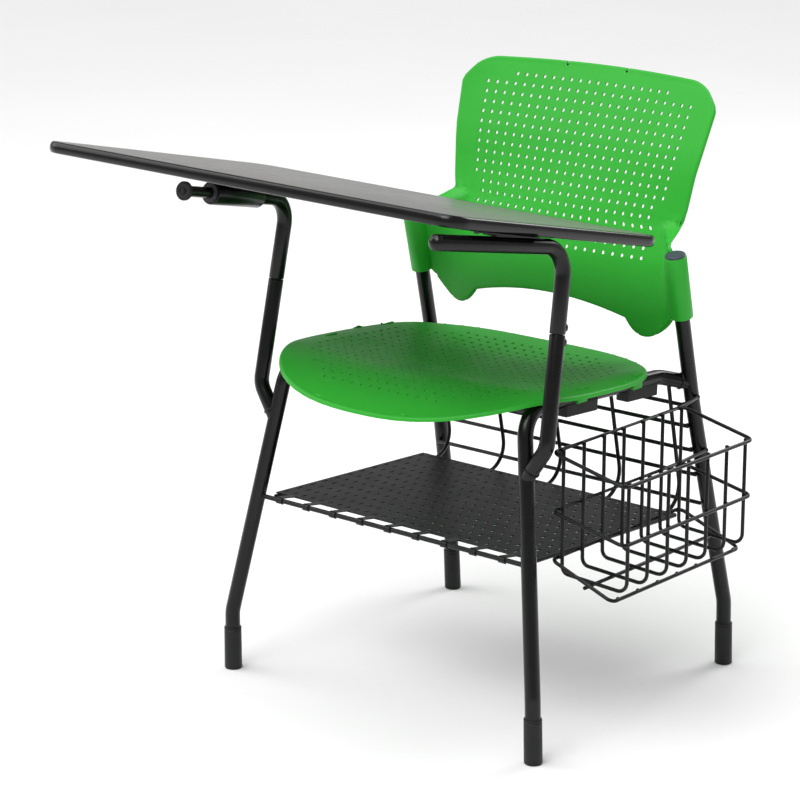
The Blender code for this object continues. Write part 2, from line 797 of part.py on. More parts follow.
def post_cap(s):
    o = side(along(REAR_BACK, REAR_TOP, 583.0), s)
    d = side(REAR_TOP, s) - side(REAR_BACK, s)
    prof = [(0.3, 0), (0.3, 13.4), (1.6, 13.6), (2.8, 12.8), (3.4, 9.0), (3.7, 0)]
    return lathe("post_cap_" + lr(s), o, d, prof, cap_grey(), 24)


def stack_bumper(s, i, y):
    z = rail_z(y)
    d = (Vector(RAIL_TURN) - Vector(RAIL_CORNER))
    d = Vector((0, d.y, d.z)).normalized()
    up = X.cross(d).normalized()
    c = Vector((s * RAIL_TURN[0], y, z)) - up * 12.5
    obj = slab("stack_bumper_%s_%d" % (lr(s), i), c, X, d, up, (19.6, 66.0, 17.0), rubber())
    a, b = side(RAIL_CORNER, s), side(RAIL_TURN, s)
    a += (b - a).normalized() * 20
    return cut(obj, bar("cut_bumper_%s_%d" % (lr(s), i), a, b, TUBE_R + FIT, rubber(), 24))


# ---- shelf, book guard and basket ---------------------------------------------------
def shelf_z(y):
    return SHELF_Z - (y - SHELF_Y[0]) * SHELF_FALL


def shelf_plate():
    """Flat tray with front tongues and a stiffening rod under each side edge."""
    y0, y1 = SHELF_Y
    rod_y = front_rod_y()
    tip = rod_y + 3.2 + FIT
    outline = [(SHELF_HALF, y0), (SHELF_HALF, y1), (-SHELF_HALF, y1), (-SHELF_HALF, y0)]
    for k in range(9):
        x = -188.0 + 47.0 * k
        outline += [(x - 5, y0), (x - 5, tip), (x + 5, tip), (x + 5, y0)]
    k = len(outline)
    verts = [Vector((x, y, shelf_z(y) - 0.75)) for x, y in outline]
    verts += [Vector((x, y, shelf_z(y) + 0.75)) for x, y in outline]
    faces = [tuple(range(k))[::-1], tuple(range(k, 2 * k))]
    faces += [(i, (i + 1) % k, k + (i + 1) % k, k + i) for i in range(k)]
    obj = make("shelf_plate", verts, faces, shelf_black())
    for s in (1, -1):
        a = Vector((s * 213.5, y0 - 6, shelf_z(y0 - 6) - 3.4))
        b = Vector((s * 213.5, y1 + 5, shelf_z(y1 + 5) - 3.4))
        fuse(obj, bar("fuse_shelf_rod_" + lr(s), a, b, 3.0, shelf_black(), 12))
    return obj


def front_rod_y():
    return along(FRONT_KNEE, RAIL_CORNER, SHELF_Z).y


def shelf_front_rod():
    p = along(FRONT_KNEE, RAIL_CORNER, SHELF_Z)
    reach = p.x - TUBE_R - 1.1
    return bar("shelf_front_rod", (-reach, p.y, SHELF_Z + 0.5), (reach, p.y, SHELF_Z + 0.5), 3.2,
               wire_black(), 12)


def guard_y(z):
    return along(REAR_KNEE, REAR_SEAT, z).y - TUBE_R - GUARD_R - FIT


def book_guard():
    """Cross wires welded behind five hooked uprights, one welded grid."""
    obj = None
    for i, x in enumerate(GUARD_X):
        path = fillet([Vector((x, guard_y(404) - 4.2, 404)), Vector((x, guard_y(223.5) - 4.2, 223.5)),
                       Vector((x, 112.0, shelf_z(112.0) - 4.2))], [34], [6])
        w = sweep("book_guard" if i == 0 else "fuse_guard_%d" % i, path, GUARD_R, wire_black(),
                  WIRE_SIDES)
        if obj is None:
            obj = w
        else:
            fuse_list.append(w)
    for i, z in enumerate(GUARD_Z):
        reach = along(REAR_KNEE, REAR_SEAT, z).x - 3.0
        fuse_list.append(bar("fuse_guard_bar_%d" % i, (-reach, guard_y(z), z), (reach, guard_y(z), z),
                             GUARD_R, wire_black(), WIRE_SIDES))
    for w in fuse_list[-4:] + fuse_list[:-4]:
        fuse(obj, w)
    return obj


fuse_list = []


def guard_low_wire():
    z = 237.0
    reach = along(REAR_KNEE, REAR_SEAT, z).x - 3.0
    return bar("guard_low_wire", (-reach, guard_y(z), z), (reach, guard_y(z), z), GUARD_R,
               wire_black(), WIRE_SIDES)


def basket_ring(name, z_in, z_out, x_out, stub):
    y0, y1 = BASKET_Y
    r = 9.0
    corners = [(BASKET_IN, y0), (x_out, y0), (x_out, y1), (BASKET_IN, y1)]

    def height(x):
        return z_in + (z_out - z_in) * (x - BASKET_IN) / (x_out - BASKET_IN)
    pts = [Vector((x, y, height(x))) for x, y in corners]
    loop = []
    for i in range(4):
        a, b, c = pts[i - 1], pts[i], pts[(i + 1) % 4]
        arc = fillet([(a + b) / 2, b, (b + c) / 2], [r], [4])
        loop += arc[1:-1]
    obj = sweep(name, loop, BASKET_R, wire_black(), WIRE_SIDES, closed=True)
    if stub:
        leg = along(REAR_KNEE, REAR_SEAT, z_in)
        a = Vector((BASKET_IN, y1 - 14.0, z_in))
        b = Vector((leg.x + 12.9, leg.y - 2.0, z_in))
        fuse(obj, sweep("fuse_stub_" + name, [a, Vector((BASKET_IN, y1 - 2.0, z_in)), b], BASKET_R,
                        wire_black(), WIRE_SIDES))
    return obj


def basket_wire(i):
    y = -158.0 + i * 41.8
    gap = 2 * BASKET_R + FIT
    xi, xo = BASKET_IN + gap, BASKET_OUT - gap
    path = fillet([Vector((xi, y, 391)), Vector((xi, y, 231)), Vector((xo, y, 226)),
                   Vector((xo, y, 368))], [10, 14], [4, 4])
    return sweep("basket_wire_%d" % (i + 1), path, BASKET_R, wire_black(), WIRE_SIDES)


def basket_floor_rod():
    z = 229.0 - 2 * BASKET_R - 0.6
    return bar("basket_floor_rod", (292.0, -170.0, z), (292.0, 104.0, z), BASKET_R, wire_black(),
               WIRE_SIDES)


# ---- assembly -----------------------------------------------------------------------
def pin_axis_empty(name, parent=None, where=None):
    """An empty on the middle of the sleeve whose Z runs along the pivot pin."""
    empty = bpy.data.objects.new(name, None)
    bpy.context.scene.collection.objects.link(empty)
    turn = Z.rotation_difference(arm_dir(-1))
    middle = place(arm_point(-1, sum(SLEEVE_SPAN) / 2))
    empty.rotation_mode = "QUATERNION"
    empty.location, empty.rotation_quaternion = middle, turn
    if parent:
        hang(empty, parent, where)
    return empty, Matrix.LocRotScale(middle, turn, None)


def hang_moving_parts():
    """The bushes ride on the slide axis and the writing board turns on the flip axis."""
    slide, where = pin_axis_empty("slide_axis")
    flip, where = pin_axis_empty("flip_axis", slide, where)
    board = ["hinge_bracket", "rest_plate", "rest_pad", "tablet_board", "tablet_edge"]
    board += ["hinge_screw_%d" % (i + 1) for i in range(len(HINGE_SCREWS))]
    board += ["rest_screw_%d" % (i + 1) for i in range(len(REST_SCREWS))]
    for name in ("slide_bush_front", "slide_bush_rear"):
        hang(bpy.data.objects[name], slide, where)
    for name in board:
        hang(bpy.data.objects[name], flip, where)


def build():
    for s in (1, -1):
        frame_side(s)
        rear_leg(s)
        foot("foot_front_" + lr(s), FRONT_FOOT, FRONT_KNEE, s)
        foot("foot_rear_" + lr(s), REAR_FOOT, REAR_KNEE, s)
        arm_post(s)
        arm_tube(s)
        splice_spigot(s)
        splice_screw(s, True)
        splice_screw(s, False)
        post_cap(s)
        stack_bumper(s, 1, -64.0)
        stack_bumper(s, 2, 66.0)
    cross_tube("seat_cross_front", -146.0, 427.0)
    cross_tube("seat_cross_rear", 70.0, 412.0)
    arm_cap()
    pivot_pin()
    pin_disc()
    slide_bush(True)
    slide_bush(False)
    hinge_bracket()
    for i, (t, a) in enumerate(HINGE_SCREWS):
        board_screw("hinge_screw_%d" % (i + 1), bracket_point(t, a, 0), 3.3)
    rest_plate()
    rest_pad()
    for i, t in enumerate(REST_SCREWS):
        board_screw("rest_screw_%d" % (i + 1), rest_point(t, 0), 1.7)
    tablet_board()
    tablet_edge()
    seat_shell()
    back_shell()
    shelf_plate()
    shelf_front_rod()
    book_guard()
    guard_low_wire()
    basket_ring("basket_ring_top", 389.0, 365.0, BASKET_OUT, True)
    basket_ring("basket_ring_mid", 313.6, 291.0, BASKET_OUT, True)
    basket_ring("basket_ring_low", 251.0, 216.5, 337.0, False)
    for i in range(7):
        basket_wire(i)
    basket_floor_rod()
    hang_moving_parts()


build()
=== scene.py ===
# %% [markdown]
# # A classroom chair with a flip-up writing board
# A school chair like this is bent steel tube, two moulded plastic shells, a slotted book shelf, a
# welded wire basket and a laminated board that turns on one arm. The CAD frame holds every part at
# its true place. This lesson dresses that frame: each visible part is rebuilt with round edges,
# real perforations and weld beads, then painted with materials made of nodes.
# %% Load the frame
import math

import bmesh
import bpy

from mathutils import Matrix, Vector


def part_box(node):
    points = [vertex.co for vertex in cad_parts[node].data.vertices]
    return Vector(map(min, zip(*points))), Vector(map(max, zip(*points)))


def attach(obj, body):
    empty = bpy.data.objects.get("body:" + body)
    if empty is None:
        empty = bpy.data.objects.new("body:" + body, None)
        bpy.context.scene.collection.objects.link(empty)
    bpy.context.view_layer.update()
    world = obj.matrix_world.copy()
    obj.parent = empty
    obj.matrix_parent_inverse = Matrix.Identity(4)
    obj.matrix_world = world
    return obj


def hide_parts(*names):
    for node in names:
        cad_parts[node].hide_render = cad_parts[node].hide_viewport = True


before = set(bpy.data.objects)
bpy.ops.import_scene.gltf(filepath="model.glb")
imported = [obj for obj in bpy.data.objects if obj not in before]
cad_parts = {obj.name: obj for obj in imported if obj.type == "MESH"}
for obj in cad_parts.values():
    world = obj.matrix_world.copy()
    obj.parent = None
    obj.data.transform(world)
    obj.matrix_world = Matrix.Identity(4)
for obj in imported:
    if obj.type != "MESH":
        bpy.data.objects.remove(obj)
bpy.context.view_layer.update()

# %% [markdown]
# Lengths stay in millimetres, measured from the middle of the four feet, as a maker would read
# them off the floor. One function turns such a point into the frame's metres, so every part below
# can be checked with a tape measure.
# %% Units and the main sizes
MM = 0.001
DATUM = Vector((52.81, 63.69, 0.0))
X, Y, Z = Vector((1, 0, 0)), Vector((0, 1, 0)), Vector((0, 0, 1))

TUBE_R = 10.0
FRONT_FOOT, FRONT_KNEE = (257.3, -222.5, 0.0), (256.0, -223.6, 82.0)
RAIL_CORNER, RAIL_TURN, RAIL_END = (196.5, -170.7, 435.0), (197.0, 112.0, 418.7), (219.3, 151.1, 407.0)
REAR_FOOT, REAR_KNEE, REAR_SEAT = (238.4, 223.5, 0.0), (239.0, 219.0, 91.0), (220.9, 156.5, 382.0)
REAR_BACK, REAR_TOP = (219.8, 131.6, 491.0), (220.0, 111.0, 580.0)
POST_ROOT, POST_TURN, ARM_CORNER = (210.5, -183.1, 352.0), (239.0, -180.0, 394.0), (228.5, -134.7, 637.2)
SEAM_Z = 532.7
ARM_DIR = {1: Vector((-17.8, -232.0, 41.8)).normalized(), -1: Vector((17.8, -214.0, 45.3)).normalized()}
ARM_LEN = {1: 228.0, -1: 64.0}
PIN_R, PIN_END = 7.0, 212.0
SLEEVE_R, SLEEVE_SPAN = 15.0, (66.1, 162.9)


def side(p, s):
    """The same point on the sitter's left (s = 1) or right (s = -1)."""
    return Vector((p[0] * s, p[1], p[2]))


def along(p, q, z):
    """Point of the line p-q at height z."""
    p, q = Vector(p), Vector(q)
    return p + (q - p) * ((z - p.z) / (q.z - p.z))


def lr(s):
    return "l" if s > 0 else "r"


print("tube diameter", 2 * TUBE_R, "mm")

# %% [markdown]
# A material is a graph of nodes, but it reads better as arithmetic. This small class wraps one
# socket, so that `0.3 + 0.1 * noise` writes the Math nodes by itself, and one method makes every
# other kind of node: its type, its settings, then what goes into its sockets.
# %% Shader arithmetic


class Val:
    """One output socket of a shader graph, with operators that add Math nodes."""

    def __init__(self, tree, socket):
        self.tree, self.socket = tree, socket

    def math(self, operation, a, b=None):
        values = {0: a} if b is None else {0: a, 1: b}
        return self.node("ShaderNodeMath", {"operation": operation}, values)

    def node(self, kind, settings=None, values=None, out=0):
        """Add a node of any kind: settings first, then numbers, colours or links."""
        made = self.tree.nodes.new(kind)
        for key, value in (settings or {}).items():
            if key == "stops":
                ramp = made.color_ramp.elements
                while len(ramp) < len(value):
                    ramp.new(0.5)
                for stop, (at, colour) in zip(ramp, value):
                    stop.position, stop.color = at, (*colour, 1.0)
            else:
                setattr(made, key, value)
        for key, value in (values or {}).items():
            if isinstance(value, Val):
                self.tree.links.new(value.socket, made.inputs[key])
            else:
                made.inputs[key].default_value = value
        return Val(self.tree, made.outputs[out])

    def __add__(self, other):
        return self.math("ADD", self, other)

    def __sub__(self, other):
        return self.math("SUBTRACT", self, other)

    def __rsub__(self, other):
        return self.math("SUBTRACT", other, self)

    def __mul__(self, other):
        return self.math("MULTIPLY", self, other)

    def __pow__(self, other):
        return self.math("POWER", self, other)

    __radd__, __rmul__ = __add__, __mul__

    def noise(self, scale, detail=3.0, rough=0.5):
        """Fractal noise of the place this socket gives, from 0 to 1."""
        values = {"Vector": self, "Scale": scale, "Detail": detail, "Roughness": rough}
        return self.node("ShaderNodeTexNoise", {}, values)

    def window(self, low, high):
        """0 below low, 1 above high, smooth between."""
        settings = {"interpolation_type": "SMOOTHSTEP"}
        return self.node("ShaderNodeMapRange", settings, {"Value": self, "From Min": low, "From Max": high})

    def blend(self, a, b):
        """Colour a where this mask is 0, colour b where it is 1."""
        made = self.node("ShaderNodeMix", {"data_type": "RGBA"}, {"Factor": self}, 2)
        mix = made.socket.node
        for socket, value in ((mix.inputs[6], a), (mix.inputs[7], b)):
            if isinstance(value, Val):
                self.tree.links.new(value.socket, socket)
            else:
                socket.default_value = (*value, 1.0)
        return made


def finish_of(slot, paint, **constants):
    """The material of a slot: paint(place) returns what changes over the surface."""
    mat = bpy.data.materials.new(slot + "_finish")
    mat["slot"] = slot
    mat.use_nodes = True
    shader = mat.node_tree.nodes["Principled BSDF"]
    for key, value in constants.items():
        shader.inputs[key.replace("_", " ")].default_value = value
    start = Val(mat.node_tree, mat.node_tree.nodes.new("ShaderNodeTexCoord").outputs["Object"])
    colour, rough, height, depth = paint(start)
    bump = start.node("ShaderNodeBump", {}, {"Height": height, "Strength": 1.0, "Distance": depth})
    for key, value in (("Base Color", colour), ("Roughness", rough), ("Normal", bump)):
        mat.node_tree.links.new(value.socket, shader.inputs[key])
    return mat


print("shader arithmetic ready")

# %% [markdown]
# Powder coat is paint baked from dust. It flows almost flat, but a faint orange-peel skin stays and
# breaks up long reflections. A low roughness over a dark base gives the wet-looking highlight,
# and a slow noise keeps the gloss from being the same everywhere.
# %% Powder-coated steel


def powder_paint(base, worn, rough, spread):
    def paint(at):
        haze = at.noise(38.0, 4.0)
        peel = at.noise(620.0, 2.0)
        specks = at.noise(1500.0, 1.0).window(0.66, 0.78)
        colour = (0.35 * haze + 0.4 * specks).blend(base, worn)
        return colour, rough + spread * haze + 0.05 * specks, peel, 0.00005
    return paint


GLOSS_TUBE = finish_of("frame_powder_coat", powder_paint((0.0012, 0.0012, 0.0014), (0.004, 0.004, 0.0045),
                                                         0.18, 0.14), Specular_IOR_Level=0.32)
WIRE_COAT = finish_of("wire_black", powder_paint((0.0012, 0.0012, 0.0014), (0.004, 0.004, 0.0045),
                                                 0.22, 0.16), Specular_IOR_Level=0.28)
SHELF_COAT = finish_of("shelf_charcoal", powder_paint((0.006, 0.006, 0.007), (0.014, 0.014, 0.016),
                                                      0.34, 0.16), Specular_IOR_Level=0.3)
print("metal finishes: tube, wire, shelf")

# %% [markdown]
# The shells are moulded polypropylene. Its skin is slightly waxy with a fine spark-eroded grain, the
# pigment drifts a little in tone, and the busiest places are polished by clothes. All of that is
# slow noise in the colour and fast noise in the bump.
# %% Moulded plastics


def plastic_paint(dark, light, rough, spread, grain, depth):
    def paint(at):
        drift = at.noise(9.0, 3.0)
        flecks = at.noise(240.0, 4.0)
        polish = at.noise(22.0, 3.0)
        colour = (0.65 * drift + 0.35 * flecks).blend(dark, light)
        return colour, rough + spread * polish, at.noise(grain, 3.0, 0.6), depth
    return paint


SHELL_GREEN = finish_of("shell_plastic_green", plastic_paint((0.016, 0.34, 0.018), (0.030, 0.44, 0.032),
                                                             0.36, 0.16, 1500.0, 0.00008),
                        Specular_IOR_Level=0.3)
FOOT_BLACK = finish_of("foot_plastic", plastic_paint((0.005, 0.005, 0.0055), (0.013, 0.013, 0.014),
                                                   0.38, 0.2, 900.0, 0.0001), Specular_IOR_Level=0.3)
CAP_BLUE_GREY = finish_of("post_cap_plastic", plastic_paint((0.026, 0.034, 0.052), (0.045, 0.055, 0.078),
                                                              0.3, 0.16, 900.0, 0.00006))
NYLON = finish_of("bush_nylon", plastic_paint((0.035, 0.035, 0.038), (0.06, 0.06, 0.064),
                                              0.4, 0.15, 700.0, 0.00005))
RUBBER = finish_of("bumper_rubber", plastic_paint((0.010, 0.010, 0.011), (0.024, 0.024, 0.025),
                                                  0.62, 0.25, 420.0, 0.0002))
print("plastic finishes: shell, foot, cap, nylon, rubber")

# %% [markdown]
# The writing board is laminate: a printed grey paper under a hard satin skin with a pebble of less
# than a tenth of a millimetre. Around it runs a black moulded edge, much glossier than the top.
# The screws are zinc plated and then blackened, so their shine is metallic but dark.
# %% Laminate, edge band and screws


def laminate_paint(at):
    fleck = at.noise(900.0, 2.0).window(0.35, 0.65)
    cloud = at.noise(7.0, 4.0)
    wear = at.noise(30.0, 5.0).window(0.5, 0.75)
    colour = (0.45 * cloud + 0.3 * fleck).blend((0.150, 0.147, 0.142), (0.205, 0.200, 0.194))
    return colour, 0.30 + 0.10 * wear + 0.08 * fleck, at.noise(1300.0, 2.0), 0.00006


def zinc_paint(at):
    stain = at.noise(160.0, 4.0)
    colour = stain.blend((0.05, 0.05, 0.055), (0.12, 0.12, 0.13))
    return colour, 0.24 + 0.25 * stain, at.noise(1200.0, 2.0), 0.00004


LAMINATE = finish_of("tablet_laminate", laminate_paint)
EDGE_BLACK = finish_of("tablet_edge_band", plastic_paint((0.0012, 0.0012, 0.0013), (0.004, 0.004, 0.0042),
                                                         0.12, 0.12, 300.0, 0.00005),
                       Specular_IOR_Level=0.35)
ZINC = finish_of("screw_zinc", zinc_paint, Metallic=0.9)
print("board and screw finishes ready")

# %% [markdown]
# Every visible piece goes through one door: it gets a mesh, a finish in its material slot and the
# body it moves with, and it hides the CAD nodes that it stands for. Doing it in one place means
# that no piece can be forgotten.
# %% The door every piece goes through
def piece(name, bm, mat, nodes=(), body="frame", smooth=None, turn=True):
    """Turn a bmesh in millimetres into a piece that rides on its body."""
    mesh = bpy.data.meshes.new(name)
    if turn:
        bmesh.ops.recalc_face_normals(bm, faces=bm.faces)
    bm.to_mesh(mesh)
    bm.free()
    mesh.transform(Matrix.Scale(MM, 4) @ Matrix.Translation(DATUM))
    mesh.materials.append(mat)
    for face in mesh.polygons:
        face.use_smooth = True
    if smooth is not None:
        mesh.set_sharp_from_angle(angle=math.radians(smooth))
    obj = bpy.data.objects.new(name, mesh)
    bpy.context.scene.collection.objects.link(obj)
    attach(obj, body)
    if nodes:
        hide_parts(*nodes)
    return obj


def bridge(bm, a, b, closed=True):
    """Quads between two rows of vertices, or triangles where a row is one vertex."""
    n = max(len(a), len(b))
    for k in range(n if closed else n - 1):
        j = (k + 1) % n
        if len(a) == 1:
            bm.faces.new((a[0], b[j], b[k]))
        elif len(b) == 1:
            bm.faces.new((a[k], a[j], b[0]))
        else:
            bm.faces.new((a[k], a[j], b[j], b[k]))


# %% [markdown]
# A bent tube is a circle carried along a line whose corners are true arcs, as a mandrel bender
# makes them. `fillet` rounds the corners and `tube` carries the circle, turning it as little as
# possible from ring to ring so that the surface never twists.
# %% Bends and tubes


def fillet(points, radii, steps=8):
    """Round the inner corners of a polyline with arcs."""
    pts = [Vector(p) for p in points]
    out = [pts[0]]
    for i, radius in enumerate(radii, 1):
        a, b, c = pts[i - 1], pts[i], pts[i + 1]
        u, w = (a - b).normalized(), (c - b).normalized()
        half = u.angle(w) / 2
        if math.pi / 2 - half < 1e-4:
            continue
        centre = b + (u + w).normalized() * radius / math.sin(half)
        p0 = b + u * radius / math.tan(half) - centre
        p1 = b + w * radius / math.tan(half) - centre
        axis, turn = p0.cross(p1).normalized(), p0.angle(p1)
        out += [centre + Matrix.Rotation(turn * k / steps, 3, axis) @ p0 for k in range(steps + 1)]
    return out + [pts[-1]]


def add_tube(bm, path, radius, sides=28, closed=False, round_ends=0.0):
    """Carry a circle along the path; round_ends softens the cut ends."""
    pts = [Vector(p) for p in path]
    n = len(pts)
    rows, normal = [], None
    for i, p in enumerate(pts):
        before = pts[i - 1] if (i or closed) else p
        after = pts[(i + 1) % n] if (i < n - 1 or closed) else p
        t = ((p - before).normalized() + (after - p).normalized()).normalized()
        if normal is None:
            normal = t.orthogonal()
        normal = (normal - t * normal.dot(t)).normalized()
        across = t.cross(normal)
        ring = [normal * math.cos(a) + across * math.sin(a)
                for a in (2 * math.pi * k / sides for k in range(sides))]
        rows.append((p, t, ring))

    def row(p, ring, r):
        return [bm.verts.new(p + v * r) for v in ring]
    bands = [row(p, ring, radius) for p, t, ring in rows]
    if closed:
        first = bands[0]
        shift = min(range(sides), key=lambda k: (first[k].co - bands[-1][0].co).length)
        bands.append(first[shift:] + first[:shift])
    else:
        for which, sign in ((0, -1), (-1, 1)):
            p, t, ring = rows[which]
            tip = [row(p - t * sign * round_ends, ring, radius)] if round_ends else []
            cap = [row(p, ring, radius - round_ends)] if round_ends else [bands[which]]
            if round_ends:
                for v, u in zip(bands[which], tip[0]):
                    v.co = u.co
                bmesh.ops.delete(bm, geom=tip[0], context="VERTS")
                mid = row(p - t * sign * round_ends * 0.3, ring, radius - round_ends * 0.3)
                bridge(bm, bands[which], mid)
                bridge(bm, mid, cap[0])
            bm.faces.new(cap[0])
    for a, b in zip(bands, bands[1:]):
        bridge(bm, a, b)
    return bm


def tube(name, path, radius, mat, nodes=(), body="frame", sides=28, closed=False, round_ends=0.0):
    bm = add_tube(bmesh.new(), path, radius, sides, closed, round_ends)
    return piece(name, bm, mat, nodes, body, 50)


def add_lathe(bm, origin, axis, profile, sides=36, hexagon=()):
    """Turn (distance, radius) pairs round an axis; rows named in hexagon are six-sided."""
    o, ax = Vector(origin), Vector(axis).normalized()
    u = ax.orthogonal().normalized()
    w = ax.cross(u)
    rows = []
    for i, (t, r) in enumerate(profile):
        if r <= 0:
            rows.append([bm.verts.new(o + ax * t)])
            continue
        ring = []
        for k in range(sides):
            a = 2 * math.pi * k / sides
            flat = (a + math.pi / 6) % (math.pi / 3) - math.pi / 6
            grow = 1.0 / math.cos(flat) if i in hexagon else 1.0
            ring.append(bm.verts.new(o + ax * t + (u * math.cos(a) + w * math.sin(a)) * r * grow))
        rows.append(ring)
    for a, b in zip(rows, rows[1:]):
        bridge(bm, a, b)
    return bm


def lathe(name, origin, axis, profile, mat, nodes=(), body="frame", sides=36, hexagon=(), smooth=35):
    return piece(name, add_lathe(bmesh.new(), origin, axis, profile, sides, hexagon), mat, nodes, body,
                 smooth)


print("tube and lathe ready")

# %% [markdown]
# Each side of the chair is three bent tubes: the front leg that turns into the seat rail, the rear
# leg that runs up behind the back, and the arm post. They meet in welds. A weld is a small uneven
# bead of metal, so a ring with a ripple is laid round each joint before the paint goes on.
# %% Frame tubes


def weld(name, centre, axis, radius, mat=GLOSS_TUBE, bead=1.7, body="frame", ripples=22):
    """A rippled ring of metal round a joint."""
    ax = Vector(axis).normalized()
    u = ax.orthogonal().normalized()
    w = ax.cross(u)
    bm, rows = bmesh.new(), []
    around, across = 66, 8
    for i in range(around):
        a = 2 * math.pi * i / around
        out = u * math.cos(a) + w * math.sin(a)
        swell = bead * (1.0 + 0.16 * math.sin(ripples * a) + 0.12 * math.sin(3 * a + 1.0))
        ring = [Vector(centre) + out * (radius + swell * math.cos(b)) + ax * swell * math.sin(b)
                for b in (2 * math.pi * j / across for j in range(across))]
        rows.append([bm.verts.new(p) for p in ring])
    for i in range(around):
        bridge(bm, rows[i], rows[(i + 1) % around])
    return piece(name, bm, mat, (), body)


def seam_point(s, dz=0.0):
    return side(along(POST_TURN, ARM_CORNER, SEAM_Z + dz), s)


def arm_point(s, t):
    return side(ARM_CORNER, s) + ARM_DIR[s] * t


def rail_z(y):
    share = (y - RAIL_CORNER[1]) / (RAIL_TURN[1] - RAIL_CORNER[1])
    return RAIL_CORNER[2] + (RAIL_TURN[2] - RAIL_CORNER[2]) * share


def frame_tubes(s):
    mirror = [[side(p, s) for p in line] for line in (
        (along(FRONT_FOOT, FRONT_KNEE, 6.3), FRONT_KNEE, RAIL_CORNER, RAIL_TURN, RAIL_END),
        (along(REAR_FOOT, REAR_KNEE, 6.3), REAR_KNEE, REAR_SEAT, REAR_BACK, REAR_TOP),
        (POST_ROOT, POST_TURN))]
    arm_line = [seam_point(s, 0.5), side(ARM_CORNER, s), arm_point(s, ARM_LEN[s])]
    tube("side_tube_" + lr(s), fillet(mirror[0], [60, 42, 34], 12), TUBE_R, GLOSS_TUBE,
         ["frame_side_" + lr(s)])
    tube("rear_tube_" + lr(s), fillet(mirror[1], [60, 600, 600], 8), TUBE_R, GLOSS_TUBE,
         ["rear_leg_" + lr(s)])
    tube("post_tube_" + lr(s), fillet(mirror[2] + [seam_point(s, -0.5)], [32], 12), TUBE_R,
         GLOSS_TUBE, ["arm_post_" + lr(s)], round_ends=0.8)
    tube("arm_tube_" + lr(s), fillet(arm_line, [36], 14), TUBE_R, GLOSS_TUBE,
         ["arm_" + lr(s)], round_ends=0.8)
    root, turn = mirror[2]
    weld("post_weld_" + lr(s), root + (turn - root) * 0.24, turn - root, TUBE_R - 0.3)
    end, inward = side(RAIL_END, s), side(RAIL_TURN, s)
    weld("rail_weld_" + lr(s), end + (inward - end) * 0.30, end - inward, TUBE_R - 0.3)


for s in (1, -1):
    frame_tubes(s)
for label, y, z in (("front", -146.0, 427.0), ("rear", 70.0, 412.0)):
    reach = RAIL_TURN[0] - TUBE_R
    tube("cross_tube_" + label, [(-reach, y, z), (reach, y, z)], TUBE_R - 1.0, GLOSS_TUBE,
         ["seat_cross_" + label])
    for s in (1, -1):
        weld("cross_weld_%s_%s" % (label, lr(s)), (s * (reach - 0.4), y, z), X, TUBE_R - 1.2)
print("frame tubes and their welds done")

# %% [markdown]
# The posts end in a seam where the arm plugs on, held by two button-head screws with a hexagon
# socket. A button head is turned on a lathe and then broached, so here the lathe's inner rows are
# simply made six-sided.
# %% Splice screws and foot sleeves


def splice_screw(s, up):
    d = (side(ARM_CORNER, s) - side(POST_TURN, s)).normalized()
    out = Vector((0.55 * s, 0.83, 0))
    out = (out - d * out.dot(d)).normalized()
    tag = "%s_%s" % (lr(s), "top" if up else "low")
    box = [(a + b) / 2 / MM for a, b in zip(*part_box("splice_screw_" + tag))]
    head = Vector(box) - DATUM
    axis_base = seam_point(s) + d * d.dot(head - seam_point(s))
    prof = [(9.0, 4.9), (10.4, 4.9), (11.2, 4.5), (12.0, 3.4), (12.4, 2.2), (12.4, 1.7),
            (10.9, 1.6), (10.9, 0)]
    lathe("splice_button_" + tag, axis_base, out, prof, ZINC, ["splice_screw_" + tag],
          sides=36, hexagon=(5, 6), smooth=30)


def foot_sleeve(name, p, q, s):
    """A push-on sleeve whose rings stay level while it follows the leg."""
    prof = [(0, 0), (0, 10.2), (0.4, 11.0), (1.6, 11.8), (30, 11.75), (55.0, 11.6), (55.6, 11.1),
            (56.2, 11.1), (56.8, 11.7), (58.9, 11.6), (59.7, 11.2), (60, 10.6), (60, 9.6)]
    bm, rows = bmesh.new(), []
    for z, r in prof:
        c = side(along(p, q, z), s)
        ring = [bm.verts.new(c + Vector((math.cos(a) * r, math.sin(a) * r, 0)))
                for a in (2 * math.pi * k / 40 for k in range(40))]
        rows.append(ring if r else [ring[0]])
    for a, b in zip(rows, rows[1:]):
        bridge(bm, a, b)
    bmesh.ops.delete(bm, geom=[v for v in bm.verts if not v.link_faces], context="VERTS")
    piece(name + "_sleeve", bm, FOOT_BLACK, [name], smooth=35)


for s in (1, -1):
    splice_screw(s, True)
    splice_screw(s, False)
    foot_sleeve("foot_front_" + lr(s), FRONT_FOOT, FRONT_KNEE, s)
    foot_sleeve("foot_rear_" + lr(s), REAR_FOOT, REAR_KNEE, s)
print("screws and feet done")

# %% [markdown]
# The seat and the back are thin shells with rows of small round holes. A hole pattern is easiest to
# get clean by building the sheet from square cells: a cell with a hole is a ring of twelve quads
# between its square border and the hole's circle, and a cell without one is a plain fan. Cells
# share their borders, so the sheet stays one smooth surface. Points that fall outside the shell's
# outline are pulled back onto it, and the rim is then rolled over by extruding that edge.
# %% Sheets with holes
RING = 12


def cell_border(i):
    """Corner and two points along each side of a unit square, in 12 steps."""
    edge, step = divmod(i, 3)
    t = step / 3 - 0.5
    return ((t, -0.5), (0.5, t), (-t, 0.5), (-0.5, -t))[edge]


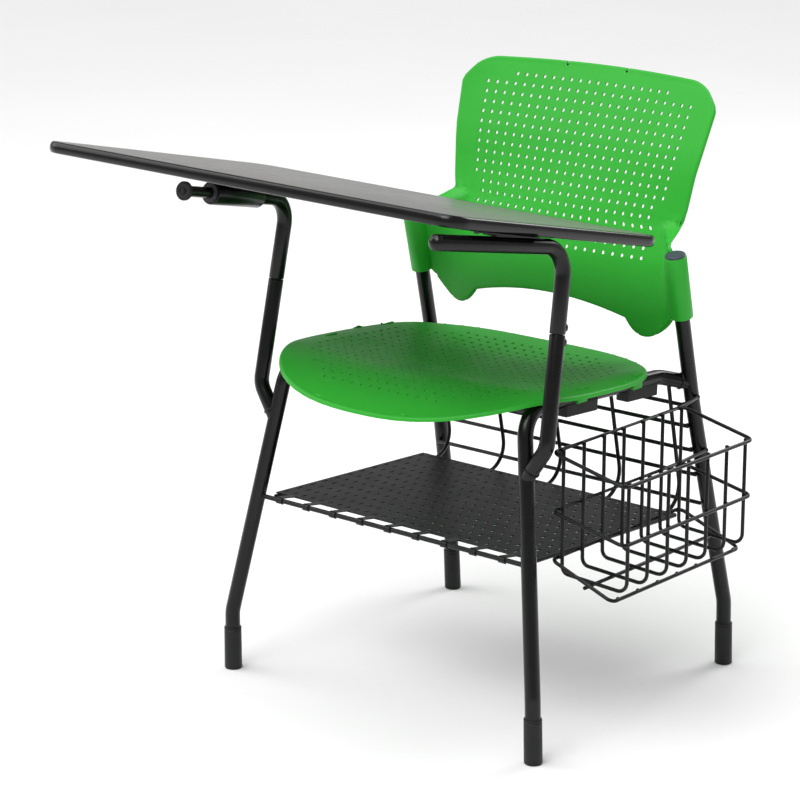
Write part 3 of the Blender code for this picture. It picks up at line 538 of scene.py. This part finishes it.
def holed_sheet(columns, rows, surface, hole, inside=None, snap=None):
    """Fill columns x rows cells; hole(c, r) gives the hole's half sizes in cells, or None."""
    bm = bmesh.new()
    in_hole = bm.verts.layers.int.new("hole")
    shared = {}

    def corner(c, r, i):
        spot = (c + cell_border(i)[0], r + cell_border(i)[1])
        key = tuple(round(6 * t) for t in spot)
        if key not in shared:
            shared[key] = bm.verts.new(surface(*(snap(*spot) if inside and not inside(*spot) else spot)))
        return shared[key]
    for c in range(columns):
        for r in range(rows):
            if inside and not any(inside(c + x, r + y) for x, y in map(cell_border, range(RING))):
                continue
            border = [corner(c, r, i) for i in range(RING)]
            size = hole(c, r)
            if size:
                ring = []
                for i in range(RING):
                    x, y = cell_border(i)
                    a = math.atan2(y, x)
                    ring.append(bm.verts.new(surface(c + size[0] * math.cos(a), r + size[1] * math.sin(a))))
                    ring[-1][in_hole] = 1
                bridge(bm, border, ring)
            else:
                middle = sum((v.co for v in border), Vector()) / RING
                bridge(bm, border, [bm.verts.new(middle)])
    bmesh.ops.remove_doubles(bm, verts=bm.verts, dist=0.25)
    return bm


def roll_rim(bm, down, profile):
    """Roll the sheet's outer edge over: (out, down) steps away from where it is now."""
    in_hole = bm.verts.layers.int["hole"]
    edges = [e for e in bm.edges if e.is_boundary and not any(v[in_hole] for v in e.verts)]
    out = {v: Vector() for e in edges for v in e.verts}
    middle = sum((v.co for v in bm.verts), Vector()) / len(bm.verts)
    for e in edges:
        a, b = (v.co for v in e.verts)
        away = (a - b).cross(down)
        if away.dot((a + b) / 2 - middle) < 0:
            away = -away
        for v in e.verts:
            out[v] += away
    start = {v: (v.co.copy(), (o - down * o.dot(down)).normalized()) for v, o in out.items()}
    ring = {v: v for v in start}
    for outward, drop in profile:
        fresh = {v: bm.verts.new(p + o * outward + down * drop) for v, (p, o) in start.items()}
        for e in edges:
            a, b = e.verts
            bm.faces.new((ring[a], ring[b], fresh[b], fresh[a]))
        ring = fresh


def shell_piece(name, bm, facing, thickness, mat, nodes):
    """Give the sheet its thickness away from the side it faces, with crisp hole edges."""
    bmesh.ops.recalc_face_normals(bm, faces=bm.faces)
    if sum(f.normal.dot(facing) for f in bm.faces) < 0:
        bmesh.ops.reverse_faces(bm, faces=bm.faces)
    obj = piece(name, bm, mat, nodes, turn=False)
    mod = obj.modifiers.new("thickness", "SOLIDIFY")
    mod.thickness, mod.offset = thickness * MM, -1.0
    solid = bpy.data.meshes.new_from_object(obj.evaluated_get(bpy.context.evaluated_depsgraph_get()))
    obj.modifiers.clear()
    obj.data = solid
    solid.set_sharp_from_angle(angle=math.radians(45))
    return obj


print("holed sheets ready:", RING, "sides to each hole")

# %% [markdown]
# The seat sits on the two rails, dished in the middle and falling away at the front edge. Holes run
# in straight rows, 15.5 mm apart, and the pattern steps in at the sides and the rear. Its rim turns
# down in a 7 mm roll, and hooks grip the rails.
# %% Seat shell
SEAT_FRONT, SEAT_REAR, SEAT_HALF, SEAT_MID = -264.0, 136.0, 231.0, -64.0
SHELL_T = 4.0
SEAT_PITCH = 15.5


def smooth01(t):
    t = max(0.0, min(1.0, t))
    return t * t * (3 - 2 * t)


def seat_size(a):
    """Reach of the seat outline from its middle at angle a."""
    c, s = math.cos(a), math.sin(a)
    p = 2.4 if s < 0 else 3.4
    half = SEAT_HALF * (1.0 - 0.05 * max(0.0, s) ** 2)
    reach = (SEAT_MID - SEAT_FRONT) if s < 0 else (SEAT_REAR - SEAT_MID)
    return Vector((half * math.copysign(abs(c) ** (2 / p), c),
                   reach * math.copysign(abs(s) ** (2 / p), s)))


OUTLINE = [seat_size(2 * math.pi * k / 720) for k in range(720)]


def seat_reach(x, y):
    """How far the outline lies in the direction of x, y (from the seat's middle)."""
    a = math.atan2(y, x)
    best = min(OUTLINE, key=lambda q: abs((math.atan2(q.y, q.x) - a + math.pi) % (2 * math.pi) - math.pi))
    return best.length


def seat_top(x, y):
    z = rail_z(y) + TUBE_R + SHELL_T + 1.0
    if y < -130:
        z -= 38.0 * ((-130 - y) / 134.0) ** 1.8
    z -= 11.0 * max(0.0, 1 - (x / 190.0) ** 2) * smooth01((y + 190) / 120.0) * smooth01((150 - y) / 110.0)
    return z - (0.10 * (abs(x) - 205) if abs(x) > 205 else 0.0)


def seat_shell():
    rim = 5.0
    columns, rows = 31, 27
    reach_cache = {}

    def spot(c, r):
        return (c - (columns - 1) / 2) * SEAT_PITCH, SEAT_FRONT + 6.0 + (r - 0.2) * SEAT_PITCH

    def reach(x, y):
        key = (round(x, 2), round(y, 2))
        if key not in reach_cache:
            reach_cache[key] = seat_reach(x, y - SEAT_MID) - rim
        return reach_cache[key]

    def inside(c, r):
        x, y = spot(c, r)
        return math.hypot(x, y - SEAT_MID) < reach(x, y)

    def snap(c, r):
        x, y = spot(c, r)
        f = reach(x, y) / math.hypot(x, y - SEAT_MID)
        x, y = x * f, SEAT_MID + (y - SEAT_MID) * f
        return x / SEAT_PITCH + (columns - 1) / 2, (y - SEAT_FRONT - 6.0) / SEAT_PITCH + 0.2

    def surface(c, r):
        x, y = spot(c, r)
        return Vector((x, y, seat_top(x, y)))

    def hole(c, r):
        x, y = spot(c, r)
        edge = reach(x, y) - math.hypot(x, y - SEAT_MID)
        stepped = 30.0 + (10.0 if (y > 60 or y < -190) and abs(x) > 120 else 0.0)
        return (2.5 / SEAT_PITCH,) * 2 if edge > stepped and abs(x) < 196 else None

    bm = holed_sheet(columns, rows, surface, hole, inside, snap)
    roll_rim(bm, -Z, [(rim * math.sin(a), rim * (1 - math.cos(a))) for a in
                      (math.radians(18 * k) for k in range(1, 6))] + [(rim, rim + 1.0)])
    return shell_piece("seat_perforated_shell", bm, Z, 2.8, SHELL_GREEN, ["seat_shell"])


seat = seat_shell()
print("seat:", len(seat.data.polygons), "faces")


# %% [markdown]
# The back is the same kind of sheet, but its columns lean together a little towards the bottom,
# because they follow the width of the shell. Below the holes is a plain band with an arch in the
# middle and a lobe at each side. Two sleeves at its edges slide down over the posts.
# %% Back shell and post caps
BACK_HALF = ((455, 206), (490, 213), (585, 214), (612, 191), (631, 195), (671, 200), (702, 205),
             (764, 212), (800, 210))
BACK_MID_Y = ((455, 122), (499, 127), (560, 139), (620, 159), (700, 191), (795, 236))
BACK_BOW = ((455, -20), (520, -15), (609, -10), (677, 5), (777, 17), (795, 18))
BACK_REF = 212.0
BACK_PITCH_X, BACK_PITCH_Z = 14.7, 13.0


def between(table, z):
    """Piecewise-linear lookup in (key, value) pairs."""
    for (a, p), (b, q) in zip(table, table[1:]):
        if z <= b:
            return p + (q - p) * max(0.0, z - a) / (b - a)
    return table[-1][1]


def back_low(x):
    x = abs(x)
    if x < 128:
        return 499.0 - 17.0 * (x / 128.0) ** 2
    if x < 192:
        return 461.0 + 21.0 * ((x - 160.0) / 32.0) ** 2
    return 482.0 + 18.0 * smooth01((x - 192.0) / 10.0)


def back_high(x):
    x = abs(x)
    if x < 158:
        return 794.0 - 3.0 * (x / 158.0) ** 2
    t = min(1.0, (x - 158.0) / 54.0)
    return 791.0 - 50.0 * (1 - math.sqrt(1 - t * t))


def back_shell():
    columns, rows, rim = 30, 27, 3.0

    def spot(c, r):
        return (c - (columns - 1) / 2) * BACK_PITCH_X, 459.0 + r * BACK_PITCH_Z

    def limits(x):
        return back_low(x) + rim, back_high(x) - rim

    def inside(c, r):
        x, z = spot(c, r)
        low, high = limits(x)
        return abs(x) < BACK_REF - rim and low < z < high

    def snap(c, r):
        x, z = spot(c, r)
        x = max(rim - BACK_REF, min(BACK_REF - rim, x))
        low, high = limits(x)
        return x / BACK_PITCH_X + (columns - 1) / 2, (max(low, min(high, z)) - 459.0) / BACK_PITCH_Z

    def surface(c, r):
        x, z = spot(c, r)
        u = x / BACK_REF
        y = between(BACK_MID_Y, z) - between(BACK_BOW, z) * u * u
        if z < 612:
            wrap = smooth01((abs(u) - 0.80) / 0.20) * smooth01((614 - z) / 26.0)
            y += (along(REAR_BACK, REAR_TOP, z).y + 2.0 - y) * wrap
        return Vector((u * between(BACK_HALF, z), y, z))

    def hole(c, r):
        x, z = spot(c, r)
        high = limits(x)[1]
        edge = 12.0 + (9.0 if abs(x) > 130 else 0.0)
        narrow = 176.0 if z > 640 else (162.0 if z > 600 else 147.0)
        fits = z < high - edge and z > 556.0 and abs(x) < narrow
        return (2.5 / BACK_PITCH_X, 2.5 / BACK_PITCH_Z) if fits else None

    bm = holed_sheet(columns, rows, surface, hole, inside, snap)
    roll_rim(bm, Y, [(rim * math.sin(a), rim * (1 - math.cos(a))) for a in
                     (math.radians(22.5 * k) for k in range(1, 5))] + [(rim, 3.8)])
    return shell_piece("back_perforated_shell", bm, -Y, 2.6, SHELL_GREEN, ["back_shell"])


def post_sleeve(s):
    """The socket of the back shell on one post, and the cap that closes it."""
    low, high = (side(along(REAR_BACK, REAR_TOP, z), s) for z in (499.0, 583.0))
    d = (high - low).normalized()
    length = (high - low).length
    lathe("back_sleeve_" + lr(s), low, d, [(0, 10.4), (0, 13.6), (0.5, 14.5), (1.4, 14.8),
                                           (length - 1.0, 14.8), (length - 0.3, 14.4), (length, 13.8),
                                           (length, 10.4)], SHELL_GREEN)
    lathe("post_cap_dome_" + lr(s), high, d, [(0.1, 0), (0.1, 13.0), (0.6, 13.6), (1.5, 13.7), (2.6, 12.9),
                                              (3.1, 11.4), (3.4, 9.0), (3.6, 5.0), (3.7, 0)],
          CAP_BLUE_GREY, ["post_cap_" + lr(s)])


back = back_shell()
for s in (1, -1):
    post_sleeve(s)
print("back:", len(back.data.polygons), "faces")

# %% [markdown]
# Under the seat are rubber blocks on which the next chair of a stack rests, and hooks that hold the
# shell on its rails. Both are moulded, so a bevel takes the knife edge off every corner.
# %% Bumpers and seat hooks


def block(name, centre, axes, size, bevel, mat, nodes=(), body="frame", corners=None):
    """A moulded block with rounded edges; corners rounds the four long edges more."""
    bm = bmesh.new()
    bmesh.ops.create_cube(bm, size=1.0)
    ex, ey, ez = axes
    if corners:
        tall = [e for e in bm.edges if abs((e.verts[0].co - e.verts[1].co).z) > 0.5]
        for v in bm.verts:
            v.co = Vector(c * l for c, l in zip(v.co, size))
        bmesh.ops.bevel(bm, geom=tall, offset=corners, segments=6, profile=0.5, affect="EDGES")
    else:
        for v in bm.verts:
            v.co = Vector(c * l for c, l in zip(v.co, size))
    edges = [e for e in bm.edges if e.calc_face_angle(0) > 0.9]
    bmesh.ops.bevel(bm, geom=edges, offset=bevel, segments=3, profile=0.5, affect="EDGES",
                    clamp_overlap=True)
    for v in bm.verts:
        v.co = Vector(centre) + ex * v.co.x + ey * v.co.y + ez * v.co.z
    return piece(name, bm, mat, nodes, body, 40)


def bumper(s, i, y):
    d = Vector(RAIL_TURN) - Vector(RAIL_CORNER)
    d = Vector((0, d.y, d.z)).normalized()
    up = X.cross(d).normalized()
    centre = Vector((s * RAIL_TURN[0], y, rail_z(y))) - up * 12.5
    block("bumper_block_%s_%d" % (lr(s), i), centre, (X, d, up), (19.4, 65.6, 16.8), 1.6, RUBBER,
          ["stack_bumper_%s_%d" % (lr(s), i)])


def seat_hook(s, i, y):
    """A tab of the seat that comes down outside the rail."""
    centre = (s * 210.2, y, rail_z(y) + 6.0)
    block("seat_hook_%s_%d" % (lr(s), i), centre, (X, Y, Z), (4.4, 20.0, 20.0), 1.0, SHELL_GREEN)


for s in (1, -1):
    for i, y in enumerate((-64.0, 66.0), 1):
        bumper(s, i, y)
    for i, y in enumerate((-72.0, 46.0), 1):
        seat_hook(s, i, y)
print("bumpers and hooks done")

# %% [markdown]
# The book shelf is a sheet-steel plate punched with rows of slots. The same cell trick gives the
# slots: the hole is stretched along the chair's depth. Tongues at its front reach round a rod that
# is welded between the legs, and a rod under each side edge keeps the plate straight.
# %% Book shelf
SHELF_FRONT, SHELF_REAR, SHELF_HALF, SHELF_Z, SHELF_FALL = -176.0, 130.0, 218.0, 245.0, 0.0457


def shelf_z(y):
    return SHELF_Z - (y - SHELF_FRONT) * SHELF_FALL


def book_shelf():
    columns, rows = 28, 12
    wide, deep = 2 * SHELF_HALF / columns, (SHELF_REAR - SHELF_FRONT) / rows

    def surface(c, r):
        x, y = -SHELF_HALF + (c + 0.5) * wide, SHELF_FRONT + (r + 0.5) * deep
        return Vector((x, y, shelf_z(y) + 0.75))

    def hole(c, r):
        return (1.9 / wide, 6.6 / deep)
    bm = holed_sheet(columns, rows, surface, hole)
    plate = shell_piece("shelf_slotted_plate", bm, Z, 1.5, SHELF_COAT, ["shelf_plate"])
    rod = along(FRONT_KNEE, RAIL_CORNER, SHELF_Z)
    reach = rod.x - TUBE_R - 0.6
    tube("shelf_rod_front", [(-reach, rod.y, SHELF_Z + 0.5), (reach, rod.y, SHELF_Z + 0.5)],
         3.2, SHELF_COAT, ["shelf_front_rod"], sides=20)
    for k in range(9):
        x = -188.0 + 47.0 * k
        arc = [(x, rod.y + 4.1 * math.cos(a), SHELF_Z + 0.5 + 4.1 * math.sin(a))
               for a in (math.radians(15 * j) for j in range(4, 19))]
        strap("shelf_tongue_%d" % (k + 1), [(x, SHELF_FRONT + 4, shelf_z(SHELF_FRONT))] + arc, 10.0, 1.3)
    for s in (1, -1):
        a = Vector((s * 213.5, SHELF_FRONT - 6, shelf_z(SHELF_FRONT - 6) - 3.4))
        b = Vector((s * 213.5, SHELF_REAR + 5, shelf_z(SHELF_REAR + 5) - 3.4))
        tube("shelf_rod_" + lr(s), [a, b], 3.0, SHELF_COAT, sides=20, round_ends=0.6)
        weld("shelf_rod_weld_" + lr(s), (s * (reach - 0.2), rod.y, SHELF_Z + 0.5), X, 3.0, SHELF_COAT, 1.0)
    return plate


def strap(name, line, width, thick):
    """A flat strip bent along a line that lies in a plane of constant x."""
    bm, rows = bmesh.new(), []
    pts = [Vector(p) for p in line]
    for i, p in enumerate(pts):
        t = (pts[min(i + 1, len(pts) - 1)] - pts[max(i - 1, 0)]).normalized()
        n = t.cross(X).normalized()
        rows.append([bm.verts.new(p + X * width * a + n * thick * b)
                     for a, b in ((-0.5, -0.5), (0.5, -0.5), (0.5, 0.5), (-0.5, 0.5))])
    for a, b in zip(rows, rows[1:]):
        bridge(bm, a, b)
    for end in (rows[0], rows[-1]):
        bm.faces.new(end)
    return piece(name, bm, SHELF_COAT, smooth=40)


shelf = book_shelf()
print("shelf:", len(shelf.data.polygons), "faces")

# %% [markdown]
# Behind the shelf a grid of wire keeps books from sliding out, and a wire basket hangs at the
# sitter's left. Wire parts are spot welded: where two wires cross, the metal melts a little and
# leaves a small lump, so a flattened ball is put on each crossing.
# %% Book guard and side basket
WIRE_R, BASKET_R = 2.7, 2.4
GUARD_Z = (377.0, 347.0, 313.0, 278.0)
GUARD_X = (-198.0, -100.0, 0.0, 100.0, 198.0)
BASKET_IN, BASKET_OUT, BASKET_Y = 243.6, 352.7, (-173.0, 102.0)
WIRE_SIDES = 16


def add_lump(bm, at, radius):
    """A melted lump at a wire crossing."""
    made = bmesh.ops.create_icosphere(bm, subdivisions=2, radius=radius)
    bmesh.ops.translate(bm, verts=made["verts"], vec=Vector(at))


def guard_y(z):
    return along(REAR_KNEE, REAR_SEAT, z).y - TUBE_R - WIRE_R - 0.3


def book_guard():
    bm = bmesh.new()
    for x in GUARD_X:
        path = fillet([(x, guard_y(404) - 4.2, 404), (x, guard_y(223.5) - 4.2, 223.5),
                       (x, 112.0, shelf_z(112.0) - 4.2)], [34], 10)
        add_tube(bm, path, WIRE_R, WIRE_SIDES, round_ends=0.8)
        for z in GUARD_Z:
            add_lump(bm, (x, guard_y(z) - 2.3, z), 2.9)
    for z in GUARD_Z:
        reach = along(REAR_KNEE, REAR_SEAT, z).x - 3.0
        add_tube(bm, [(-reach, guard_y(z), z), (reach, guard_y(z), z)], WIRE_R, WIRE_SIDES, round_ends=0.8)
        for s in (1, -1):
            add_lump(bm, (s * (reach - 4.0), guard_y(z) + 2.6, z), 3.4)
    piece("book_guard_grid", bm, WIRE_COAT, ["book_guard"], smooth=50)
    low_z = 237.0
    reach = along(REAR_KNEE, REAR_SEAT, low_z).x - 3.0
    tube("guard_low_bar", [(-reach, guard_y(low_z), low_z), (reach, guard_y(low_z), low_z)],
         WIRE_R, WIRE_COAT, ["guard_low_wire"], sides=WIRE_SIDES, round_ends=0.8)


def basket_ring(label, z_in, z_out, x_out, stub):
    y0, y1 = BASKET_Y

    def height(x):
        return z_in + (z_out - z_in) * (x - BASKET_IN) / (x_out - BASKET_IN)
    corners = [Vector((x, y, height(x)))
               for x, y in ((BASKET_IN, y0), (x_out, y0), (x_out, y1), (BASKET_IN, y1))]
    loop = []
    for i in range(4):
        a, b, c = corners[i - 1], corners[i], corners[(i + 1) % 4]
        loop += fillet([(a + b) / 2, b, (b + c) / 2], [9.0], 8)[1:-1]
    bm = add_tube(bmesh.new(), loop, BASKET_R, WIRE_SIDES, closed=True)
    if stub:
        leg = along(REAR_KNEE, REAR_SEAT, z_in)
        bend = Vector((BASKET_IN, y1 - 2.0, z_in))
        stub_line = [Vector((BASKET_IN, y1 - 14.0, z_in)), bend,
                     Vector((leg.x + 11.5, leg.y - 2.0, z_in))]
        add_tube(bm, stub_line, BASKET_R, WIRE_SIDES, round_ends=0.8)
        add_lump(bm, (BASKET_IN, y1 - 8.0, z_in), 3.3)
        add_lump(bm, (leg.x + 11.0, leg.y - 2.0, z_in), 3.6)
    for k in range(7):
        y = wire_y(k)
        add_lump(bm, (BASKET_IN + 2.4, y, height(BASKET_IN)), 2.7)
        add_lump(bm, (x_out - 2.4, y, height(x_out)), 2.7)
    piece("basket_hoop_" + label, bm, WIRE_COAT, ["basket_ring_" + label], smooth=50)


def wire_y(k):
    return -158.0 + k * 41.8


basket_ring("top", 389.0, 365.0, BASKET_OUT, True)
basket_ring("mid", 313.6, 291.0, BASKET_OUT, True)
basket_ring("low", 251.0, 216.5, 337.0, False)
gap = 2 * BASKET_R + 0.2
for k in range(7):
    y = wire_y(k)
    path = fillet([(BASKET_IN + gap, y, 391), (BASKET_IN + gap, y, 231), (BASKET_OUT - gap, y, 226),
                   (BASKET_OUT - gap, y, 368)], [10, 14], 8)
    tube("basket_strand_%d" % (k + 1), path, BASKET_R, WIRE_COAT, ["basket_wire_%d" % (k + 1)],
         sides=WIRE_SIDES, round_ends=0.8)
floor_z = 229.0 - 2 * BASKET_R - 0.6
tube("basket_floor_bar", [(292.0, -170.0, floor_z), (292.0, 104.0, floor_z)], BASKET_R, WIRE_COAT,
     ["basket_floor_rod"], sides=WIRE_SIDES, round_ends=0.8)
book_guard()
print("wire parts done")

# %% [markdown]
# The writing board is a laminated panel with round corners and a black bullnose edge. It slopes
# towards the sitter. The edge is one profile, half round outside, carried round the corners, and a
# hair-line groove stays between it and the laminate, as on the real joint.
# %% Writing board
BOARD_CENTRE = Vector((-112.1, -147.7, 661.7))
BOARD_WIDE, BOARD_DEEP, BOARD_T = 696.0, 430.0, 15.0
BOARD_CORNER, BAND = 30.0, 8.0
BOARD_N = Vector((0.012, 0.222, 1)).normalized()
BOARD_X = Vector((1, 0, -0.012)).normalized()
BOARD_Y = BOARD_N.cross(BOARD_X).normalized()


def board_loop(bm, inset, height, steps=12):
    """A rounded rectangle in the board's own plane, as a row of vertices."""
    hx, hy, r = BOARD_WIDE / 2 - inset, BOARD_DEEP / 2 - inset, BOARD_CORNER - inset
    row = []
    for cx, cy, turn in ((1, 1, 0), (-1, 1, 90), (-1, -1, 180), (1, -1, 270)):
        for k in range(steps + 1):
            a = math.radians(turn + 90.0 * k / steps)
            x, y = cx * (hx - r) + r * math.cos(a), cy * (hy - r) + r * math.sin(a)
            row.append(bm.verts.new(BOARD_CENTRE + BOARD_X * x + BOARD_Y * y + BOARD_N * height))
    return row


def writing_board():
    half = BOARD_T / 2
    bm = bmesh.new()
    rows = [board_loop(bm, BAND + i, h) for i, h in
            ((0.75, -half), (0.15, 0.5 - half), (0.15, half - 0.5), (0.3, half - 0.15), (0.75, half))]
    for a, b in zip(rows, rows[1:]):
        bridge(bm, a, b)
    bm.faces.new(rows[0])
    bm.faces.new(rows[-1])
    piece("board_panel", bm, LAMINATE, ["tablet_board"], "tablet", 30)
    bm = bmesh.new()
    arc = [(4.0 - 4.0 * math.sin(a), half * math.cos(a))
           for a in (math.radians(15 * k) for k in range(1, 12))]
    rows = [board_loop(bm, i, h) for i, h in
            [(BAND - 0.15, half - 0.4), (BAND - 0.5, half)] + [(4.0, half)] + arc +
            [(4.0, -half), (BAND - 0.5, -half), (BAND - 0.15, 0.4 - half)]]
    for a, b in zip(rows, rows[1:] + rows[:1]):
        bridge(bm, a, b)
    piece("board_edge_band", bm, EDGE_BLACK, ["tablet_edge"], "tablet", 40)


writing_board()
print("board", BOARD_WIDE, "x", BOARD_DEEP, "mm")

# %% [markdown]
# A bracket under the board carries a round sleeve, which turns on a pin in the sitter's right arm.
# A disc at the pin's front end keeps the sleeve on. The other arm only supports the board and is
# closed by a domed plug. All of these are turned parts, so the lathe makes them.
# %% Pivot, bracket and arm plug


def under_board(p, drop):
    """Foot of p on the plane that lies `drop` below the board's underside."""
    c = BOARD_CENTRE - BOARD_N * (BOARD_T / 2 + drop)
    return p - BOARD_N * (p - c).dot(BOARD_N)


def pivot_parts():
    o, d = arm_point(-1, 0), ARM_DIR[-1]
    flat = (d - BOARD_N * d.dot(BOARD_N)).normalized()
    across = BOARD_N.cross(flat).normalized()
    block("hinge_plate", under_board(arm_point(-1, 91.0), 0.3 + 1.5), (flat, across, BOARD_N),
          (146.0, 54.0, 3.0), 0.5, GLOSS_TUBE, ["hinge_bracket"], "tablet", corners=9.0)
    t0, t1 = SLEEVE_SPAN
    lathe("hinge_sleeve", o, d, [(t0, 9.0), (t0, 13.6), (t0 + 0.4, 14.5), (t0 + 1.4, SLEEVE_R),
                                 (t1 - 1.4, SLEEVE_R), (t1 - 0.4, 14.5), (t1, 13.6), (t1, 9.0)],
          GLOSS_TUBE, body="tablet", sides=48)
    lathe("pin_shaft", o, d, [(58.0, 0), (58.0, PIN_R), (PIN_END - 1, PIN_R), (PIN_END, PIN_R - 1),
                              (PIN_END, 0)], GLOSS_TUBE, ["pivot_pin"])
    t = PIN_END + 0.3
    lathe("pin_end_disc", o, d, [(t, 0), (t, 11.2), (t + 0.9, 12.1), (t + 3.9, 12.2), (t + 4.8, 11.7),
                                 (t + 5.2, 10.8), (t + 5.2, 7.4), (t + 4.8, 6.6), (t + 3.9, 6.0),
                                 (t + 3.8, 3.4), (t + 5.4, 2.6), (t + 5.8, 1.4), (t + 5.8, 0)],
          FOOT_BLACK, ["pin_disc"], sides=48, smooth=40)
    tip = arm_point(1, ARM_LEN[1])
    dome = [(-6, 7.6), (0.2, 7.6), (0.3, 9.6), (0.8, 10.2), (3.2, 9.8), (5.4, 8.3),
            (7.2, 5.9), (8.1, 3.0), (8.4, 0)]
    lathe("arm_plug", tip, ARM_DIR[1], dome, EDGE_BLACK, ["arm_cap_l"], sides=40)


pivot_parts()
print("pivot parts done")

# %% [markdown]
# A few small parts are already right in the CAD: the nylon bushes, the board screws, the rest plate
# and its pad, and the plugs inside the arm seams. They keep their shape and only get their finish.
# %% Finish for the small CAD parts
KEPT = {"slide_bush": (NYLON, "bush_nylon"), "hinge_screw": (ZINC, "screw_zinc"),
        "rest_screw": (ZINC, "screw_zinc"), "rest_plate": (GLOSS_TUBE, "frame_powder_coat"),
        "rest_pad": (RUBBER, "bumper_rubber"), "splice_spigot": (FOOT_BLACK, "spigot_plastic")}
for name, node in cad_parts.items():
    for start, (mat, slot) in KEPT.items():
        if name.startswith(start):
            node.data.materials.clear()
            node.data.materials.append(mat)
            print("kept", name)

# %% [markdown]
# A product of this kind is lit by large soft lamps on a pale floor that has no visible horizon. One
# big lamp from the upper left gives the long highlights on the tubes, a weaker one fills the other
# side, and the sky itself is nearly white.
# %% Floor, light and camera


def lamp(name, at, aim, size, power):
    data = bpy.data.lights.new(name, "AREA")
    data.shape, data.size, data.energy = "DISK", size, power
    obj = bpy.data.objects.new(name, data)
    obj.location = at
    obj.rotation_euler = (Vector(aim) - Vector(at)).to_track_quat("-Z", "Y").to_euler()
    bpy.context.scene.collection.objects.link(obj)


def studio():
    bm = bmesh.new()
    bmesh.ops.create_grid(bm, x_segments=1, y_segments=1, size=30.0)
    mesh = bpy.data.meshes.new("floor")
    bm.to_mesh(mesh)
    bm.free()
    floor = bpy.data.objects.new("floor", mesh)
    bpy.context.scene.collection.objects.link(floor)

    def floor_paint(at):
        cloud = at.noise(1.2, 2.0)
        return cloud.blend((0.86, 0.86, 0.86), (0.90, 0.90, 0.90)), 0.75 + 0.1 * cloud, cloud, 0.0
    mesh.materials.append(finish_of("floor_pale", floor_paint))
    world = bpy.data.worlds.new("studio")
    world.use_nodes = True
    sky = world.node_tree.nodes["Background"]
    sky.inputs["Color"].default_value = (1.0, 1.0, 1.0, 1.0)
    sky.inputs["Strength"].default_value = 0.42
    bpy.context.scene.world = world
    sun = bpy.data.lights.new("ceiling", "SUN")
    sun.energy = 1.9
    sun.angle = math.radians(60)
    ceiling = bpy.data.objects.new("ceiling", sun)
    ceiling.rotation_euler = (math.radians(18), math.radians(-14), 0)
    bpy.context.scene.collection.objects.link(ceiling)
    lamp("key", (0.6, -2.4, 3.4), (0, 0, 0.4), 2.2, 55)
    lamp("fill", (-3.0, -1.2, 2.2), (0, 0, 0.4), 2.5, 30)
    lamp("rim", (0.6, 3.2, 2.8), (0, 0, 0.5), 2.0, 60)


def camera():
    data = bpy.data.cameras.new("camera")
    data.lens, data.sensor_width = 127.4, 36.0
    data.clip_end = 100.0
    obj = bpy.data.objects.new("camera", data)
    obj.location = Vector((2.2536, -2.8200, 1.3755)) + DATUM * MM
    obj.rotation_euler = Vector((-0.6251, 0.7334, -0.2671)).to_track_quat("-Z", "Y").to_euler()
    bpy.context.scene.collection.objects.link(obj)
    bpy.context.scene.camera = obj


studio()
camera()
bpy.context.scene.view_settings.view_transform = "Standard"
print("studio ready")
